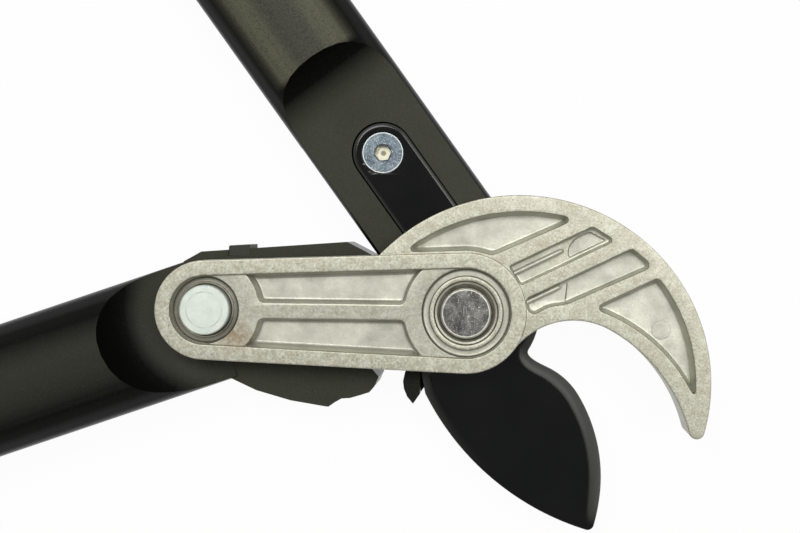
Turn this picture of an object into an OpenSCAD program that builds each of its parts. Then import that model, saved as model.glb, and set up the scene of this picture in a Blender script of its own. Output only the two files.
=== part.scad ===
/* [Pivots and gearing] */
// Distance between the main pivot and the gear pivot
pivot_span = 70; // [66:0.5:74]
// Pressure angle of the tooth flanks
pressure = 20; // [18:0.5:24]
// Play between meshing teeth along the pitch line
backlash = 0.7; // [0.4:0.05:1]
// Turn of the blade handle from the rest pose to closed
closing = 30; // [26:0.5:31]
// Direction of the blade handle at rest
blade_dir = 126.2; // [120:0.1:132]
// Direction of the gear handle at rest
gear_dir = 199.4; // [196:0.1:206]

/* [Heights above the floor] */
// Rear plane of the moulded handle heads
head_back = 2.5; // [2:0.1:3.5]
// Middle plane of the handle tubes
tube_mid = 16.5; // [15:0.1:18]
// Flat on the blade handle that carries the tang
blade_flat = 21; // [20.5:0.1:21.2]
// Front face of the gear handle's toothed plate
gear_flat = 18.2; // [17:0.1:18.4]
// Underside of the lip that laps over the toothed plate
lip_under = 18.6; // [18.5:0.1:19.4]
// Floor of the tang slot
slot_floor = 16.6; // [16:0.1:17]
// Rear face of the casting's arm
arm_back = 21.4; // [21.3:0.1:22.5]
// Front face of the arm's rim
arm_front = 30; // [28:0.1:32]
// Step from the arm's rim down to the hook's front face
hook_step = 0.8; // [0.4:0.1:1.5]
// Rear face of the hook where the blade lands
pad_back = 14.4; // [13:0.1:15.5]

/* [Casting] */
// Outside radius of the arm round the gear pivot
arm_gear_r = 13.3; // [12:0.1:15]
// Outside radius of the arm round the main pivot
arm_main_r = 16.2; // [15:0.1:18]
// Width of the arm's raised rim
arm_rim = 4.1; // [3:0.1:5]
// Depth of the sunk field inside the rim
field_depth = 1; // [0.5:0.1:1.5]
// Depth of the two long arm pockets below the rim
arm_pocket = 4.4; // [2:0.1:6]
// Width of the rib between the arm pockets
arm_rib = 4.2; // [3:0.1:6]
// Depth of the hook's pockets below its front face
hook_pocket = 4; // [2:0.1:6]
// Turn of the hook against the arm
hook_tilt = 0.75; // [0:0.05:2]
// Radius of the hook's upper outside edge
crown_r = 51.9; // [50:0.1:54]
// Radius of the hook's beak outside edge
beak_r = 49.5; // [47:0.1:51.5]
// Radius of the anvil edge
anvil_r = 44.2; // [42:0.1:46]
// Radius of the blend between anvil and arm
throat_r = 20; // [18:0.1:22]
// Radius of the beak's rounded tip
tip_r = 2.1; // [1.6:0.1:2.6]
// Width of the rim along the hook's outside edge
crown_rim = 4.4; // [3:0.1:6]
// Inclination of the bars between the pockets
bar_tilt = 25.5; // [20:0.5:30]

/* [Blade] */
// Thickness of the blade
blade_t = 4; // [3:0.1:4.2]
// Radius of the blade's back edge
blade_back_r = 73.7; // [72:0.1:76]
// Width of the ground band along the cutting edge
bevel_w = 3.2; // [1.5:0.1:5]
// Thickness left at the cutting edge
edge_t = 0.5; // [0.3:0.05:1]
// Rounding of the blade's back edge
back_round = 1.5; // [0.5:0.1:1.8]
// Gap to the anvil when closed
edge_gap = 0.35; // [0.3:0.05:0.8]
// Width of the tang
tang_w = 16.4; // [14:0.1:18]
// Distance of the tang's middle line from the main pivot
tang_off = 6.4; // [5:0.1:8]
// Distance of the tang screw from the main pivot along the tang
tang_screw_u = 48.9; // [44:0.1:56]

/* [Handles] */
// Width of the handle tube
tube_w = 35; // [32:0.5:38]
// Depth of the handle tube
tube_d = 28; // [26:0.5:28]
// Wall of the hollow tube
tube_wall = 4; // [3:0.1:6]
// Sideways offset of the blade handle's tube from the main pivot
blade_tube_off = 6.1; // [4:0.1:8]
// Sideways offset of the gear handle's tube from the gear pivot
gear_tube_off = 2.8; // [2:0.1:5]
// Run-out radius of the flat on the blade handle
blade_runout = 15.6; // [10:0.1:20]
// Distance of the blade handle's run-out crest from the main pivot
blade_crest = 79.7; // [74:0.1:90]
// Radius of the round flat on the gear handle
gear_flat_r = 15.5; // [14.5:0.1:18]
// Run-out radius of the flat on the gear handle
gear_runout = 14.5; // [12:0.1:16]
// Length of each handle from its pivot
handle_len = 690; // [600:5:750]
// Distance from the pivot to the start of the bend
bend_start = 150; // [130:5:220]
// Inward bend of each handle
bend_angle = 15; // [8:0.5:20]
// Radius of the bend
bend_r = 600; // [400:10:900]
// Width of the tube's core under the grip
core_w = 29; // [26:0.5:34]
// Depth of the tube's core under the grip
core_d = 24; // [21:0.5:26]
// Length of the soft grips
grip_len = 175; // [140:5:220]
// Thickness of the soft grips
grip_wall = 3; // [2:0.1:4.4]
// Thickness of the flange on the end caps
cap_t = 5; // [3:0.5:8]

/* [Fasteners] */
// Radius of the pivot pins in their bushes
pin_r = 6; // [5:0.1:6.2]
// Radius of the main pin's visible end
main_disc_r = 6.8; // [6.5:0.1:7.5]
// Radius of the gear pin's visible end
gear_disc_r = 6.7; // [6.5:0.1:7.2]
// Radius of the riveted rear heads
rivet_r = 9; // [7.5:0.1:10]
// Thread radius of the tang screw
screw_r = 3; // [2.5:0.1:3.5]
// Head radius of the tang screw
screw_head_r = 5.6; // [5:0.1:6.5]
// Width across the flats of the tang screw's socket
socket_af = 4; // [3:0.5:4.5]
// Width across the flats of the tang nut
nut_af = 10; // [8:0.5:11]
// Radial play of turning fits
run_fit = 0.04; // [0.02:0.01:0.08]

/* [Hidden] */
$fn = 96;
eps = 0.01;

// Teeth that a full circle would have on the gear handle and on the blade handle
gear_teeth = 32;
pinion_teeth = 16;
tooth_module = 2 * pivot_span / (gear_teeth + pinion_teeth);
gear_pitch_r = tooth_module * gear_teeth / 2;
pinion_pitch_r = tooth_module * pinion_teeth / 2;
gear_pos = [-pivot_span, 0];
gear_closing = closing * pinion_teeth / gear_teeth;
hook_front = arm_front - hook_step;
washer_t = 0.5;
rear_washer_t = 0.6;
rear_gap = 0.3;
bush_r = 8;
grip_lead = 1.2;
plug_fit = 0.3;
plug_len = 14;
// Play of pieces laid or pressed into each other, and of the screw in its holes
seat_play = 0.02;
head_play = 0.05;
screw_play = 0.2;
washer_play = 0.2;
// Reach of cutters that go right through or past the part
through = 60;
far = 120;

crown_c = [14.24, -20.29];
beak_turn = 36.6;
beak_c = crown_c + polar(crown_r - beak_r, beak_turn);
anvil_c = [16.9, -43.1];

anvil_c_row = turn(anvil_c, hook_tilt);
edge_c = turn(anvil_c_row, -closing);
edge_r = anvil_r - edge_gap;
back_c = [54.31, 10.86];

function turn(p, a) = [p[0] * cos(a) - p[1] * sin(a), p[0] * sin(a) + p[1] * cos(a)];
function polar(r, a) = [r * cos(a), r * sin(a)];
function circles_meet(c1, r1, c2, r2, side) =
    let (d = norm(c2 - c1), e = (c2 - c1) / d, h = (r1 * r1 - r2 * r2 + d * d) / (2 * d))
    c1 + e * h + side * sqrt(r1 * r1 - h * h) * [-e[1], e[0]];
function involute(a) = tan(a) * 180 / PI - a;
function flank(r, pitch_r, half) =
    half + involute(pressure) - involute(acos(min(1, pitch_r * cos(pressure) / r)));

// Points of an arc, with or without its first one
function arc(c, r, from, to, n = 24) = [for (i = [0 : n]) c + polar(r, from + (to - from) * i / n)];
function arc_on(c, r, from, to, n = 24) = [for (i = [1 : n]) c + polar(r, from + (to - from) * i / n)];
function angle(p) = atan2(p[1], p[0]);

// Four-arc oval of half width a and half depth b, n steps on each arc
oval_end = 0.64;

function oval_ring(a, b, n) =
    let (
        re = b * oval_end,
        rf = ((a - re) ^ 2 + b * b - re * re) / (2 * (b - re)),
        s = atan2(rf - b, a - re)
    )
    concat(
        arc_on([a - re, 0], re, -s, s, n),
        arc_on([0, b - rf], rf, s, 180 - s, n),
        arc_on([re - a, 0], re, 180 - s, 180 + s, n),
        arc_on([0, rf - b], rf, 180 + s, 360 - s, n)
    );

module oval(a, b) {
    polygon(oval_ring(a, b, 10));
}

// Closed skin over rings of equal point counts along x
module skin(rings) {
    n = len(rings[0]);
    last = len(rings) - 1;
    polyhedron(
        points = [for (r = rings) each r],
        faces = concat(
            [[for (i = [0 : n - 1]) i]],
            [for (k = [0 : last - 1]) for (i = [0 : n - 1])
                each [[k * n + i, (k + 1) * n + (i + 1) % n, k * n + (i + 1) % n],
                      [k * n + i, (k + 1) * n + i, (k + 1) * n + (i + 1) % n]]],
            [[for (i = [n - 1 : -1 : 0]) last * n + i]]
        )
    );
}

module sleeve(r_in, r_out, z0, z1) {
    translate([0, 0, z0]) difference() {
        cylinder(r = r_out, h = z1 - z0);
        translate([0, 0, -1]) cylinder(r = r_in, h = z1 - z0 + 2);
    }
}

module at_gear() {
    translate([gear_pos[0], gear_pos[1], 0]) children();
}

// Frame of a handle: x along the tube, y to the left of it, z up
module along(dir) {
    rotate([0, 0, dir]) children();
}

// Heights of the teeth in modules: above the pitch line, down to the root, and down to the hidden foot
tooth_add = 0.94;
tooth_root = 1.25;
tooth_foot = 1.6;
flank_steps = 6;

module tooth(pitch_r, half, a) {
    base_r = pitch_r * cos(pressure);
    tip = pitch_r + tooth_add * tooth_module;
    foot = pitch_r - tooth_foot * tooth_module;
    rr = [for (i = [0 : flank_steps]) base_r + (tip - base_r) * i / flank_steps];
    polygon(concat(
        [polar(foot, a - flank(base_r, pitch_r, half))],
        [for (r = rr) polar(r, a - flank(r, pitch_r, half))],
        [for (i = [flank_steps : -1 : 0]) polar(rr[i], a + flank(rr[i], pitch_r, half))],
        [polar(foot, a + flank(base_r, pitch_r, half))]
    ));
}

// Casting outlines

function arm_lean(r_gear, r_main) = asin((r_main - r_gear) / pivot_span);

module arm_2d(r_gear, r_main) {
    lean = arm_lean(r_gear, r_main);
    polygon(concat(
        arc([0, 0], r_main, -90 - lean, 90 + lean, 40),
        arc(gear_pos, r_gear, 90 + lean, 270 - lean, 36)
    ));
}

throat_c = circles_meet([0, 0], arm_main_r + throat_r, anvil_c, anvil_r - throat_r, 1);
tip_c = circles_meet(beak_c, beak_r - tip_r, anvil_c, anvil_r + tip_r, 1);

// Where the crown runs into the upper edge of the arm
crown_row = turn(crown_c, hook_tilt);
lean = arm_lean(arm_gear_r, arm_main_r);
edge_start = polar(arm_main_r, 90 + lean);
edge_unit = polar(1, 180 + lean);
edge_b = (edge_start - crown_row) * edge_unit;
edge_len = -edge_b + sqrt(edge_b ^ 2 - norm(edge_start - crown_row) ^ 2 + crown_r ^ 2);
crown_end = edge_start + edge_len * edge_unit;

function hook_arc(c, r, from, to, n) = arc_on(turn(c, hook_tilt), r, from + hook_tilt, to + hook_tilt, n);

// Outline of arm and hook: main boss, throat, anvil, tip, beak, crown, gear end
module casting_2d() {
    polygon(concat(
        arc([0, 0], arm_main_r, -90 - lean, angle(throat_c) + hook_tilt, 16),
        hook_arc(throat_c, throat_r, angle(-throat_c), angle(throat_c - anvil_c), 14),
        hook_arc(anvil_c, anvil_r, angle(throat_c - anvil_c), angle(tip_c - anvil_c), 24),
        hook_arc(tip_c, tip_r, angle(anvil_c - tip_c), angle(tip_c - beak_c), 12),
        hook_arc(beak_c, beak_r, angle(tip_c - beak_c), beak_turn, 24),
        hook_arc(crown_c, crown_r, beak_turn, angle(crown_end - crown_row) - hook_tilt, 32),
        arc(gear_pos, arm_gear_r, 90 + lean, 270 - lean, 36)
    ));
}

// The part of the hook that reaches back to the blade's plane
pad_r = 30;
pad_x = 26.5;
pad_low = -40;

module pad_2d() {
    intersection() {
        casting_2d();
        polygon(concat(
            [[pad_x, far]], arc([0, 0], pad_r, acos(pad_x / pad_r), pad_low),
            [[far / 2, -far], [far, -far], [far, far]]
        ));
    }
}

// Half-moon pocket: centre of its upper edge, its corner at the bar, its sides and its gap to the arm
moon_c = [15.1, -25.4];
moon_bar = [6.9, 15.3];
moon_bar_tilt = bar_tilt - 2;
moon_left = -14.8;
moon_right = 27.4;
moon_low = 10;
moon_gap = 0.6;

module half_moon() {
    intersection() {
        difference() {
            translate(moon_c) circle(crown_c[1] + crown_r - crown_rim - moon_c[1]);
            rotate(-hook_tilt) arm_2d(arm_gear_r + moon_gap, arm_main_r + moon_gap);
            translate(moon_bar) rotate(moon_bar_tilt) translate([-far, -far]) square([2 * far, far]);
        }
        translate([moon_left, moon_low]) square([moon_right - moon_left, far]);
    }
}

// Slots between the bars: corners along and across the bars, from the corner nearest to the main pivot
upper_slot_at = [14.6, 7.3];
upper_slot_corners = [[0, 0], [26.8, -0.1], [27.7, 0.8], [24.3, 6.1], [-0.7, 6.2]];
lower_slot_at = [17.9, -0.3];
lower_slot_corners = [
    [-0.9, 1.3], [0.3, -0.3], [4.6, 0], [9.3, -1.5], [33.2, -2.3], [34, -0.9], [31.6, 4.5], [0, 4.6]
];
slot_depth = 2.6;
// The outer end of each slot is deeper
scoop_c = [33.7, 15.5];
scoop_r = 6.5;
lower_deep_x = 26.8;

module slot_2d(at, corners) {
    translate(at) rotate(bar_tilt) polygon(corners);
}

module upper_deep_2d() {
    intersection() {
        slot_2d(upper_slot_at, upper_slot_corners);
        union() {
            translate(scoop_c) circle(scoop_r);
            translate([scoop_c[0], 0]) square(far);
        }
    }
}

module lower_deep_2d() {
    intersection() {
        slot_2d(lower_slot_at, lower_slot_corners);
        translate([lower_deep_x, -far / 2]) square(far);
    }
}

// Low ribs on the floors of the slots: start and length
ridges = [[[13.2, 9.9], 14.8], [[16.6, 2.1], 10.2]];
ridge_w = 0.9;
ridge_h = 1.4;

module bar_ridge(at, length) {
    translate([at[0], at[1], hook_front - slot_depth - 0.1]) rotate([0, 0, bar_tilt]) {
        cube([length, ridge_w, ridge_h + 0.1]);
    }
}

// Beak pocket: outer rim, inner edge, its corner at the bar and its sides
beak_rim = 4.2;
beak_in_c = [20.3, -41.7];
beak_in_r = 45;
beak_bar = [36, 2.3];
beak_bar_tilt = bar_tilt - 0.5;
beak_left = 35.6;
beak_low = -21.6;
// Round mark of an ejector pin on the pocket's floor
mark_c = [52.7, -4.8];
mark_r = 2.6;
mark_h = 0.15;

module beak_pocket() {
    intersection() {
        difference() {
            translate(beak_c) circle(beak_r - beak_rim);
            translate(beak_in_c) circle(beak_in_r);
            translate(beak_bar) rotate(beak_bar_tilt) translate([-far, 0]) square([2 * far, far]);
        }
        translate([beak_left, beak_low]) square(far);
    }
}

// Webs round the two bosses, between which the arm's pockets lie
web_gear_r = 14.6;
web_main_r = 16.6;

module arm_pockets_2d() {
    difference() {
        arm_2d(arm_gear_r - arm_rim, arm_main_r - arm_rim);
        translate(gear_pos) circle(web_gear_r);
        circle(web_main_r);
        translate([-pivot_span, -arm_rib / 2]) square([pivot_span, arm_rib]);
    }
}

// Round seats of the pins: groove, lip, step and the room for the pin's disc
rim_draft = 0.1;
groove_depth = 2.2;
groove_wall = 0.2;
groove_end = 5;
main_lip_r = 9.6;
gear_lip_r = 7.8;
step_depth = 1.8;
step_w = 1.5;
disc_depth = 5;

module sink(face, depth) {
    translate([0, 0, face - depth]) linear_extrude(depth + 1) children();
}

module pin_bore(disc_r) {
    translate([0, 0, arm_front - disc_depth]) cylinder(r = disc_r + run_fit, h = through);
    cylinder(r = pin_r + run_fit, h = through);
}

module hook_anvil() color([0.78, 0.77, 0.71]) {
    difference() {
        union() {
            translate([0, 0, arm_back]) linear_extrude(hook_front - arm_back) casting_2d();
            translate([0, 0, hook_front]) linear_extrude(hook_step) {
                arm_2d(arm_gear_r - rim_draft, arm_main_r - rim_draft);
            }
            translate([0, 0, pad_back]) linear_extrude(arm_back - pad_back) pad_2d();
        }
        sink(arm_front, field_depth) arm_2d(arm_gear_r - arm_rim, arm_main_r - arm_rim);
        sink(arm_front, arm_pocket) arm_pockets_2d();
        rotate([0, 0, hook_tilt]) {
            sink(hook_front, hook_pocket) half_moon();
            sink(hook_front, slot_depth) slot_2d(upper_slot_at, upper_slot_corners);
            sink(hook_front, hook_pocket) upper_deep_2d();
            sink(hook_front, slot_depth) slot_2d(lower_slot_at, lower_slot_corners);
            sink(hook_front, hook_pocket) lower_deep_2d();
            sink(hook_front, hook_pocket) beak_pocket();
        }
        sink(arm_front, groove_depth) difference() {
            circle(arm_main_r - arm_rim - groove_wall);
            circle(main_lip_r);
        }
        at_gear() sink(arm_front, groove_depth) difference() {
            circle(arm_gear_r - arm_rim - groove_wall);
            circle(gear_lip_r);
            translate([groove_end, -far / 2]) square(far);
        }
        translate([0, 0, arm_front - step_depth]) cylinder(r = main_disc_r + step_w, h = through);
        pin_bore(main_disc_r);
        at_gear() pin_bore(gear_disc_r);
    }
    rotate([0, 0, hook_tilt]) {
        for (g = ridges) {
            bar_ridge(g[0], g[1]);
        }
        translate([mark_c[0], mark_c[1], hook_front - hook_pocket - 0.1]) {
            cylinder(r = mark_r, h = mark_h + 0.1);
        }
    }
}

// Pins: riveted rear head, shank, and the disc seen in the casting
rivet_edge = 0.8;
rivet_top = head_back - rear_gap - rear_washer_t;
disc_low = 0.2;
main_disc_edge = 0.4;
gear_disc_edge = 0.3;

module pivot_pin(disc_r, edge) {
    disc_top = arm_front - disc_low - edge;
    cylinder(r1 = rivet_r - rivet_edge, r2 = rivet_r, h = rivet_edge);
    translate([0, 0, rivet_edge]) cylinder(r = rivet_r, h = rivet_top - rivet_edge);
    cylinder(r = pin_r, h = arm_front - disc_depth + 1);
    translate([0, 0, arm_front - disc_depth]) cylinder(r = disc_r, h = disc_top - arm_front + disc_depth);
    translate([0, 0, disc_top]) cylinder(r1 = disc_r, r2 = disc_r - edge, h = edge);
}

module main_pivot_pin() color([0.42, 0.42, 0.44]) pivot_pin(main_disc_r, main_disc_edge);

module gear_pivot_pin() color([0.8, 0.84, 0.82]) at_gear() pivot_pin(gear_disc_r, gear_disc_edge);

main_thrust_r = 12;
gear_thrust_r = 11.5;
rear_washer_r = 12.5;

module rear_washer() {
    sleeve(pin_r + washer_play, rear_washer_r, rivet_top, rivet_top + rear_washer_t);
}

module main_thrust_washer() color([0.75, 0.7, 0.55]) {
    sleeve(pin_r + washer_play, main_thrust_r, arm_back - washer_t, arm_back);
}

module gear_thrust_washer() color([0.75, 0.7, 0.55]) at_gear() {
    sleeve(pin_r + washer_play, gear_thrust_r, arm_back - washer_t, arm_back);
}

module main_rear_washer() color([0.7, 0.72, 0.74]) rear_washer();

module gear_rear_washer() color([0.7, 0.72, 0.74]) at_gear() rear_washer();

// Blade

blade_z = slot_floor + seat_play;
blade_top = blade_z + blade_t;
nose_r = 1.8;
blade_hub_r = 15;
tang_root = -2;
nose_c = circles_meet(edge_c, edge_r - nose_r, back_c, blade_back_r - nose_r, -1);

module tang_2d(w) {
    along(blade_dir) translate([0, -tang_off]) {
        polygon(concat([[tang_root, -w / 2]], arc([tang_screw_u, 0], w / 2, -90, 90), [[tang_root, w / 2]]));
    }
}

// The cutting edge repeats the anvil and the upper part of the throat, less the gap
knee_c = turn(turn(throat_c, hook_tilt), -closing);
knee_r = throat_r - edge_gap;
knee_end = angle(knee_c - edge_c);
knee_start = 76;
shoulder_line = [[-8, -6], [8, -6], [15.8, -9.7], [17.2, -11.8]];
heel_line = [[-12.4, -17.4], [-10.6, -14.6]];
heel_turn = 206.5;

module blade_body_2d() {
    polygon(concat(
        shoulder_line,
        arc(knee_c, knee_r, knee_start, knee_end, 14),
        arc_on(edge_c, edge_r, knee_end, angle(nose_c - edge_c), 32),
        arc_on(nose_c, nose_r, angle(nose_c - edge_c), angle(nose_c - back_c), 8),
        arc_on(back_c, blade_back_r, angle(nose_c - back_c), heel_turn - 360, 32),
        heel_line
    ));
}

// The knee is ground less than the edge
knee_bevel_w = 2.4;
knee_edge_t = 1.1;
band_lap = 1.5;

// What the grinder takes off both faces along one arc, for a band of width w and a thickness left at its edge
module ground_off(c, r, w, left, from, to) {
    depth = (blade_t - left) / 2 * (w + 1) / w;
    translate([c[0], c[1], 0]) rotate([0, 0, from]) rotate_extrude(angle = to - from) {
        polygon([
            [r - w, blade_top], [r + 1, blade_top - depth], [r + 1, blade_top + 1], [r - w, blade_top + 1]
        ]);
        polygon([[r - w, blade_z], [r - w, blade_z - 1], [r + 1, blade_z - 1], [r + 1, blade_z + depth]]);
    }
}

// Disc about the centre of the back arc, its rim rounded like the blade's back
module back_disc() {
    rim_r = blade_back_r - back_round;
    translate([back_c[0], back_c[1], 0]) rotate_extrude($fn = 240) polygon(concat(
        [[0, blade_z]],
        arc([rim_r, blade_z + back_round], back_round, -90, 0, 6),
        arc([rim_r, blade_top - back_round], back_round, 0, 90, 6),
        [[0, blade_top]]
    ));
}

module blade() color([0.09, 0.09, 0.1]) difference() {
    union() {
        difference() {
            intersection() {
                translate([0, 0, blade_z]) linear_extrude(blade_t) blade_body_2d();
                back_disc();
            }
            ground_off(edge_c, edge_r, bevel_w, edge_t, angle(nose_c - edge_c), knee_end + band_lap);
            ground_off(knee_c, knee_r, knee_bevel_w, knee_edge_t, knee_end - band_lap, knee_start);
        }
        translate([0, 0, blade_z]) cylinder(r = blade_hub_r, h = blade_t);
        translate([0, 0, blade_z]) linear_extrude(blade_t) tang_2d(tang_w);
    }
    cylinder(r = bush_r + seat_play, h = through);
    at_screw() {
        cylinder(r = screw_r + screw_play, h = through);
        translate([0, 0, screw_top - screw_head_h]) {
            cylinder(r1 = screw_r + head_play, r2 = screw_head_r + head_play, h = screw_head_h);
        }
        translate([0, 0, screw_top - eps]) cylinder(r = screw_head_r + head_play, h = through);
    }
}

module at_screw() {
    along(blade_dir) translate([tang_screw_u, -tang_off, 0]) children();
}

screw_sunk = 0.15;
screw_top = blade_top - screw_sunk;
screw_head_h = screw_head_r - screw_r;
nut_cover = 1;
nut_z = head_back + nut_cover;
nut_h = 5;
nut_play = 0.1;
screw_end = nut_z + 0.4;
socket_r = socket_af / sqrt(3);
socket_depth = 2.2;
socket_edge = 0.3;
socket_flare = 0.15;

module tang_screw() color([0.72, 0.76, 0.82]) at_screw() difference() {
    union() {
        translate([0, 0, screw_top - screw_head_h]) {
            cylinder(r1 = screw_r, r2 = screw_head_r, h = screw_head_h);
        }
        translate([0, 0, screw_end]) cylinder(r = screw_r, h = screw_top - screw_head_h - screw_end + 0.1);
    }
    translate([0, 0, screw_top - socket_depth]) cylinder(r = socket_r, h = through, $fn = 6);
    translate([0, 0, screw_top - socket_edge]) {
        cylinder(r1 = socket_af / 2, r2 = socket_r + socket_flare, h = socket_edge + eps);
    }
}

module tang_nut() color([0.7, 0.72, 0.75]) at_screw() difference() {
    translate([0, 0, nut_z]) cylinder(r = nut_af / sqrt(3), h = nut_h, $fn = 6);
    cylinder(r = screw_r + seat_play, h = through);
}

// Handle tubes: straight from the head, an arc, straight again, then a slimmer core under the grip
bend_len = bend_r * bend_angle * PI / 180;
shoulder = handle_len - grip_len - bend_start - bend_len;

module at_bend_end() {
    translate([bend_start + bend_r * sin(bend_angle), bend_r * (1 - cos(bend_angle)), 0]) {
        rotate([0, 0, bend_angle]) children();
    }
}

module lengthwise(from, length) {
    translate([from, 0, 0]) rotate([90, 0, 90]) linear_extrude(length) children();
}

module tube_oval(grow) {
    oval(tube_w / 2 + grow, tube_d / 2 + grow);
}

module core_oval(grow) {
    oval(core_w / 2 + grow, core_d / 2 + grow);
}

module tube() {
    translate([0, 0, tube_mid]) {
        lengthwise(0, bend_start) tube_oval(0);
        translate([bend_start, bend_r, 0]) rotate([0, 0, -90]) {
            rotate_extrude(angle = bend_angle, $fn = 720) translate([bend_r, 0]) tube_oval(0);
        }
        at_bend_end() difference() {
            union() {
                lengthwise(0, shoulder) tube_oval(0);
                lengthwise(shoulder, grip_len) core_oval(0);
            }
            lengthwise(tube_wall, shoulder - 2 * tube_wall) tube_oval(-tube_wall);
            lengthwise(shoulder - 2 * tube_wall, grip_len + 3 * tube_wall) core_oval(-tube_wall);
        }
    }
}

// Swelling of the grip at its middle and its flare at the end
grip_swell = 1.3;
grip_flare = 1.4;
flare_start = 0.86;
grip_steps = 14;
grip_gap = 0.1;

function swell(t) =
    grip_swell * sin(180 * t) ^ 2 + grip_flare * max(0, (t - flare_start) / (1 - flare_start)) ^ 2;

module grip() {
    translate([0, 0, tube_mid]) at_bend_end() difference() {
        skin([for (i = [0 : grip_steps])
            let (t = i / grip_steps, g = grip_wall + swell(t) - (i == 0 ? grip_lead : 0))
            [for (p = oval_ring(core_w / 2 + g, min(core_d / 2 + g, tube_mid), 6))
                [shoulder + grip_gap + (grip_len - grip_gap) * t, p[0], p[1]]]]);
        lengthwise(shoulder - 1, grip_len + 2) core_oval(head_play);
    }
}

module end_cap() {
    translate([0, 0, tube_mid]) at_bend_end() {
        lengthwise(shoulder + grip_len + head_play, cap_t) core_oval(grip_wall);
        lengthwise(shoulder + grip_len - plug_len, plug_len + 0.1) core_oval(-tube_wall - plug_fit);
    }
}

// Blade handle

// Nose beside the teeth that meets the gear handle's stop nose: radius and direction of its corners
nose_rays = [
    [19, 221.5], [22, 223], [24, 225.5], [26, 228.3], [27.4, 231.6], [28.6, 235.7], [29.4, 240.5],
    [22, 242], [15, 250]
];
// Bearing plate under the blade: radius and limits of its sector
plate_r = 24;
plate_from = 240;
plate_to = 302;
// Room for the blade beside its slot, and round its hub
blade_room = [[0, 4], [-12.6, -6], [-12.6, -60], [80, -60], [40, 0]];
slot_play = 0.6;
mesh_play = 0.6;
sweep_steps = 6;

// Run-out of the flat into the tube
runout_h = tube_mid + tube_d / 2 - blade_flat;
runout_start = blade_crest - sqrt(2 * blade_runout * runout_h - runout_h * runout_h);

module pinion_2d() {
    half = 90 / pinion_teeth - backlash / 4 / pinion_pitch_r * 180 / PI;
    circle(pinion_pitch_r - tooth_root * tooth_module);
    for (k = [-0.5, 0.5, 1.5]) {
        tooth(pinion_pitch_r, half, 180 + k * 360 / pinion_teeth);
    }
    polygon(concat([[0, 0]], [for (q = nose_rays) polar(q[0], q[1])]));
}

// Toothed plate of the gear handle seen from the blade handle while closing
module swept_block() {
    for (i = [0 : sweep_steps]) {
        rotate(-closing * i / sweep_steps) translate(gear_pos) rotate(-gear_closing * i / sweep_steps) {
            gear_block(mesh_play);
            stop_pad_2d(edge_gap);
        }
    }
}

module blade_handle() color([0.16, 0.16, 0.145]) difference() {
    union() {
        at_blade_tube() tube();
        translate([0, 0, head_back]) linear_extrude(blade_flat + 1 - head_back) pinion_2d();
        translate([0, 0, head_back]) linear_extrude(slot_floor - head_back) intersection() {
            circle(plate_r);
            polygon(concat([[0, 0]], arc([0, 0], far, plate_from, plate_to, 2)));
        }
    }
    along(blade_dir) translate([0, far / 2, 0]) rotate([90, 0, 0]) linear_extrude(far) {
        translate([-far, blade_flat]) square([far + runout_start, through]);
        translate([runout_start, blade_flat + blade_runout - seat_play]) circle(blade_runout);
    }
    translate([0, 0, slot_floor]) linear_extrude(through) {
        tang_2d(tang_w + slot_play);
        circle(blade_hub_r + slot_play);
        polygon(blade_room);
    }
    linear_extrude(lip_under) swept_block();
    cylinder(r = bush_r + seat_play, h = through);
    at_screw() {
        cylinder(r = screw_r + screw_play, h = through);
        cylinder(r = nut_af / sqrt(3) + nut_play, h = nut_z + nut_h + seat_play, $fn = 6);
    }
}

module main_pivot_bush() color([0.7, 0.55, 0.3]) {
    sleeve(pin_r + run_fit, bush_r, head_back, blade_top);
}

module at_blade_tube() {
    along(blade_dir) translate([0, -blade_tube_off, 0]) children();
}

module blade_handle_grip() color([0.12, 0.12, 0.12]) at_blade_tube() grip();

module blade_handle_end_cap() color([0.1, 0.1, 0.1]) at_blade_tube() end_cap();

// Gear handle

plate_top = [[-8.7, 12.6], [-3.8, 15.4], [36.5, 18.6]];
plate_low = [[35.5, -24.6], [31.9, -27.1], [21.5, -25.5], [11.9, -22.8], [4.5, -19.4], [-10, -20]];
gear_root_r = gear_pitch_r - tooth_root * tooth_module;
gear_tip_r = gear_pitch_r + tooth_add * tooth_module;

// Upper corner of the toothed plate, grown by c all round
module gear_block(c) {
    polygon([
        [0, 0], polar(gear_tip_r + c, 10), polar(gear_tip_r + c, 13), polar(gear_tip_r - 0.3 + c, 15),
        polar(46.8 + c, 18 + c), polar(44.5 + c, 21.2 + c), [36.5 + c, 18.6 + c], [-3.8, 15.4 + c], [-8, 12]
    ]);
}

// Lower corner of the toothed plate: the last tooth, drawn out to a stop nose
module stop_nose() {
    polygon([
        polar(30, -24), polar(gear_root_r, -20.6), polar(gear_pitch_r, -20.4), polar(gear_tip_r, -22.2),
        polar(gear_tip_r, -25.6), polar(gear_tip_r - 0.5, -28), polar(gear_tip_r - 1.9, -29.8),
        polar(45.2, -33), [35.5, -24.8], [31.5, -27.1], [21.5, -25.5], [10, -10]
    ]);
}

module gear_plate_2d() {
    half = 90 / gear_teeth - backlash / 4 / gear_pitch_r * 180 / PI;
    polygon(concat(plate_top, [polar(gear_root_r - 4, 24), polar(gear_root_r - 6, -30)], plate_low));
    intersection() {
        circle(gear_root_r);
        polygon([[0, 0], polar(80, -24), polar(80, 22)]);
    }
    gear_block(0);
    stop_nose();
    for (k = [-1 : 1]) {
        tooth(gear_pitch_r, half, k * 360 / gear_teeth);
    }
}

gear_boss_r = 12;
gear_boss_top = arm_back - washer_t - rear_gap;

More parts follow.
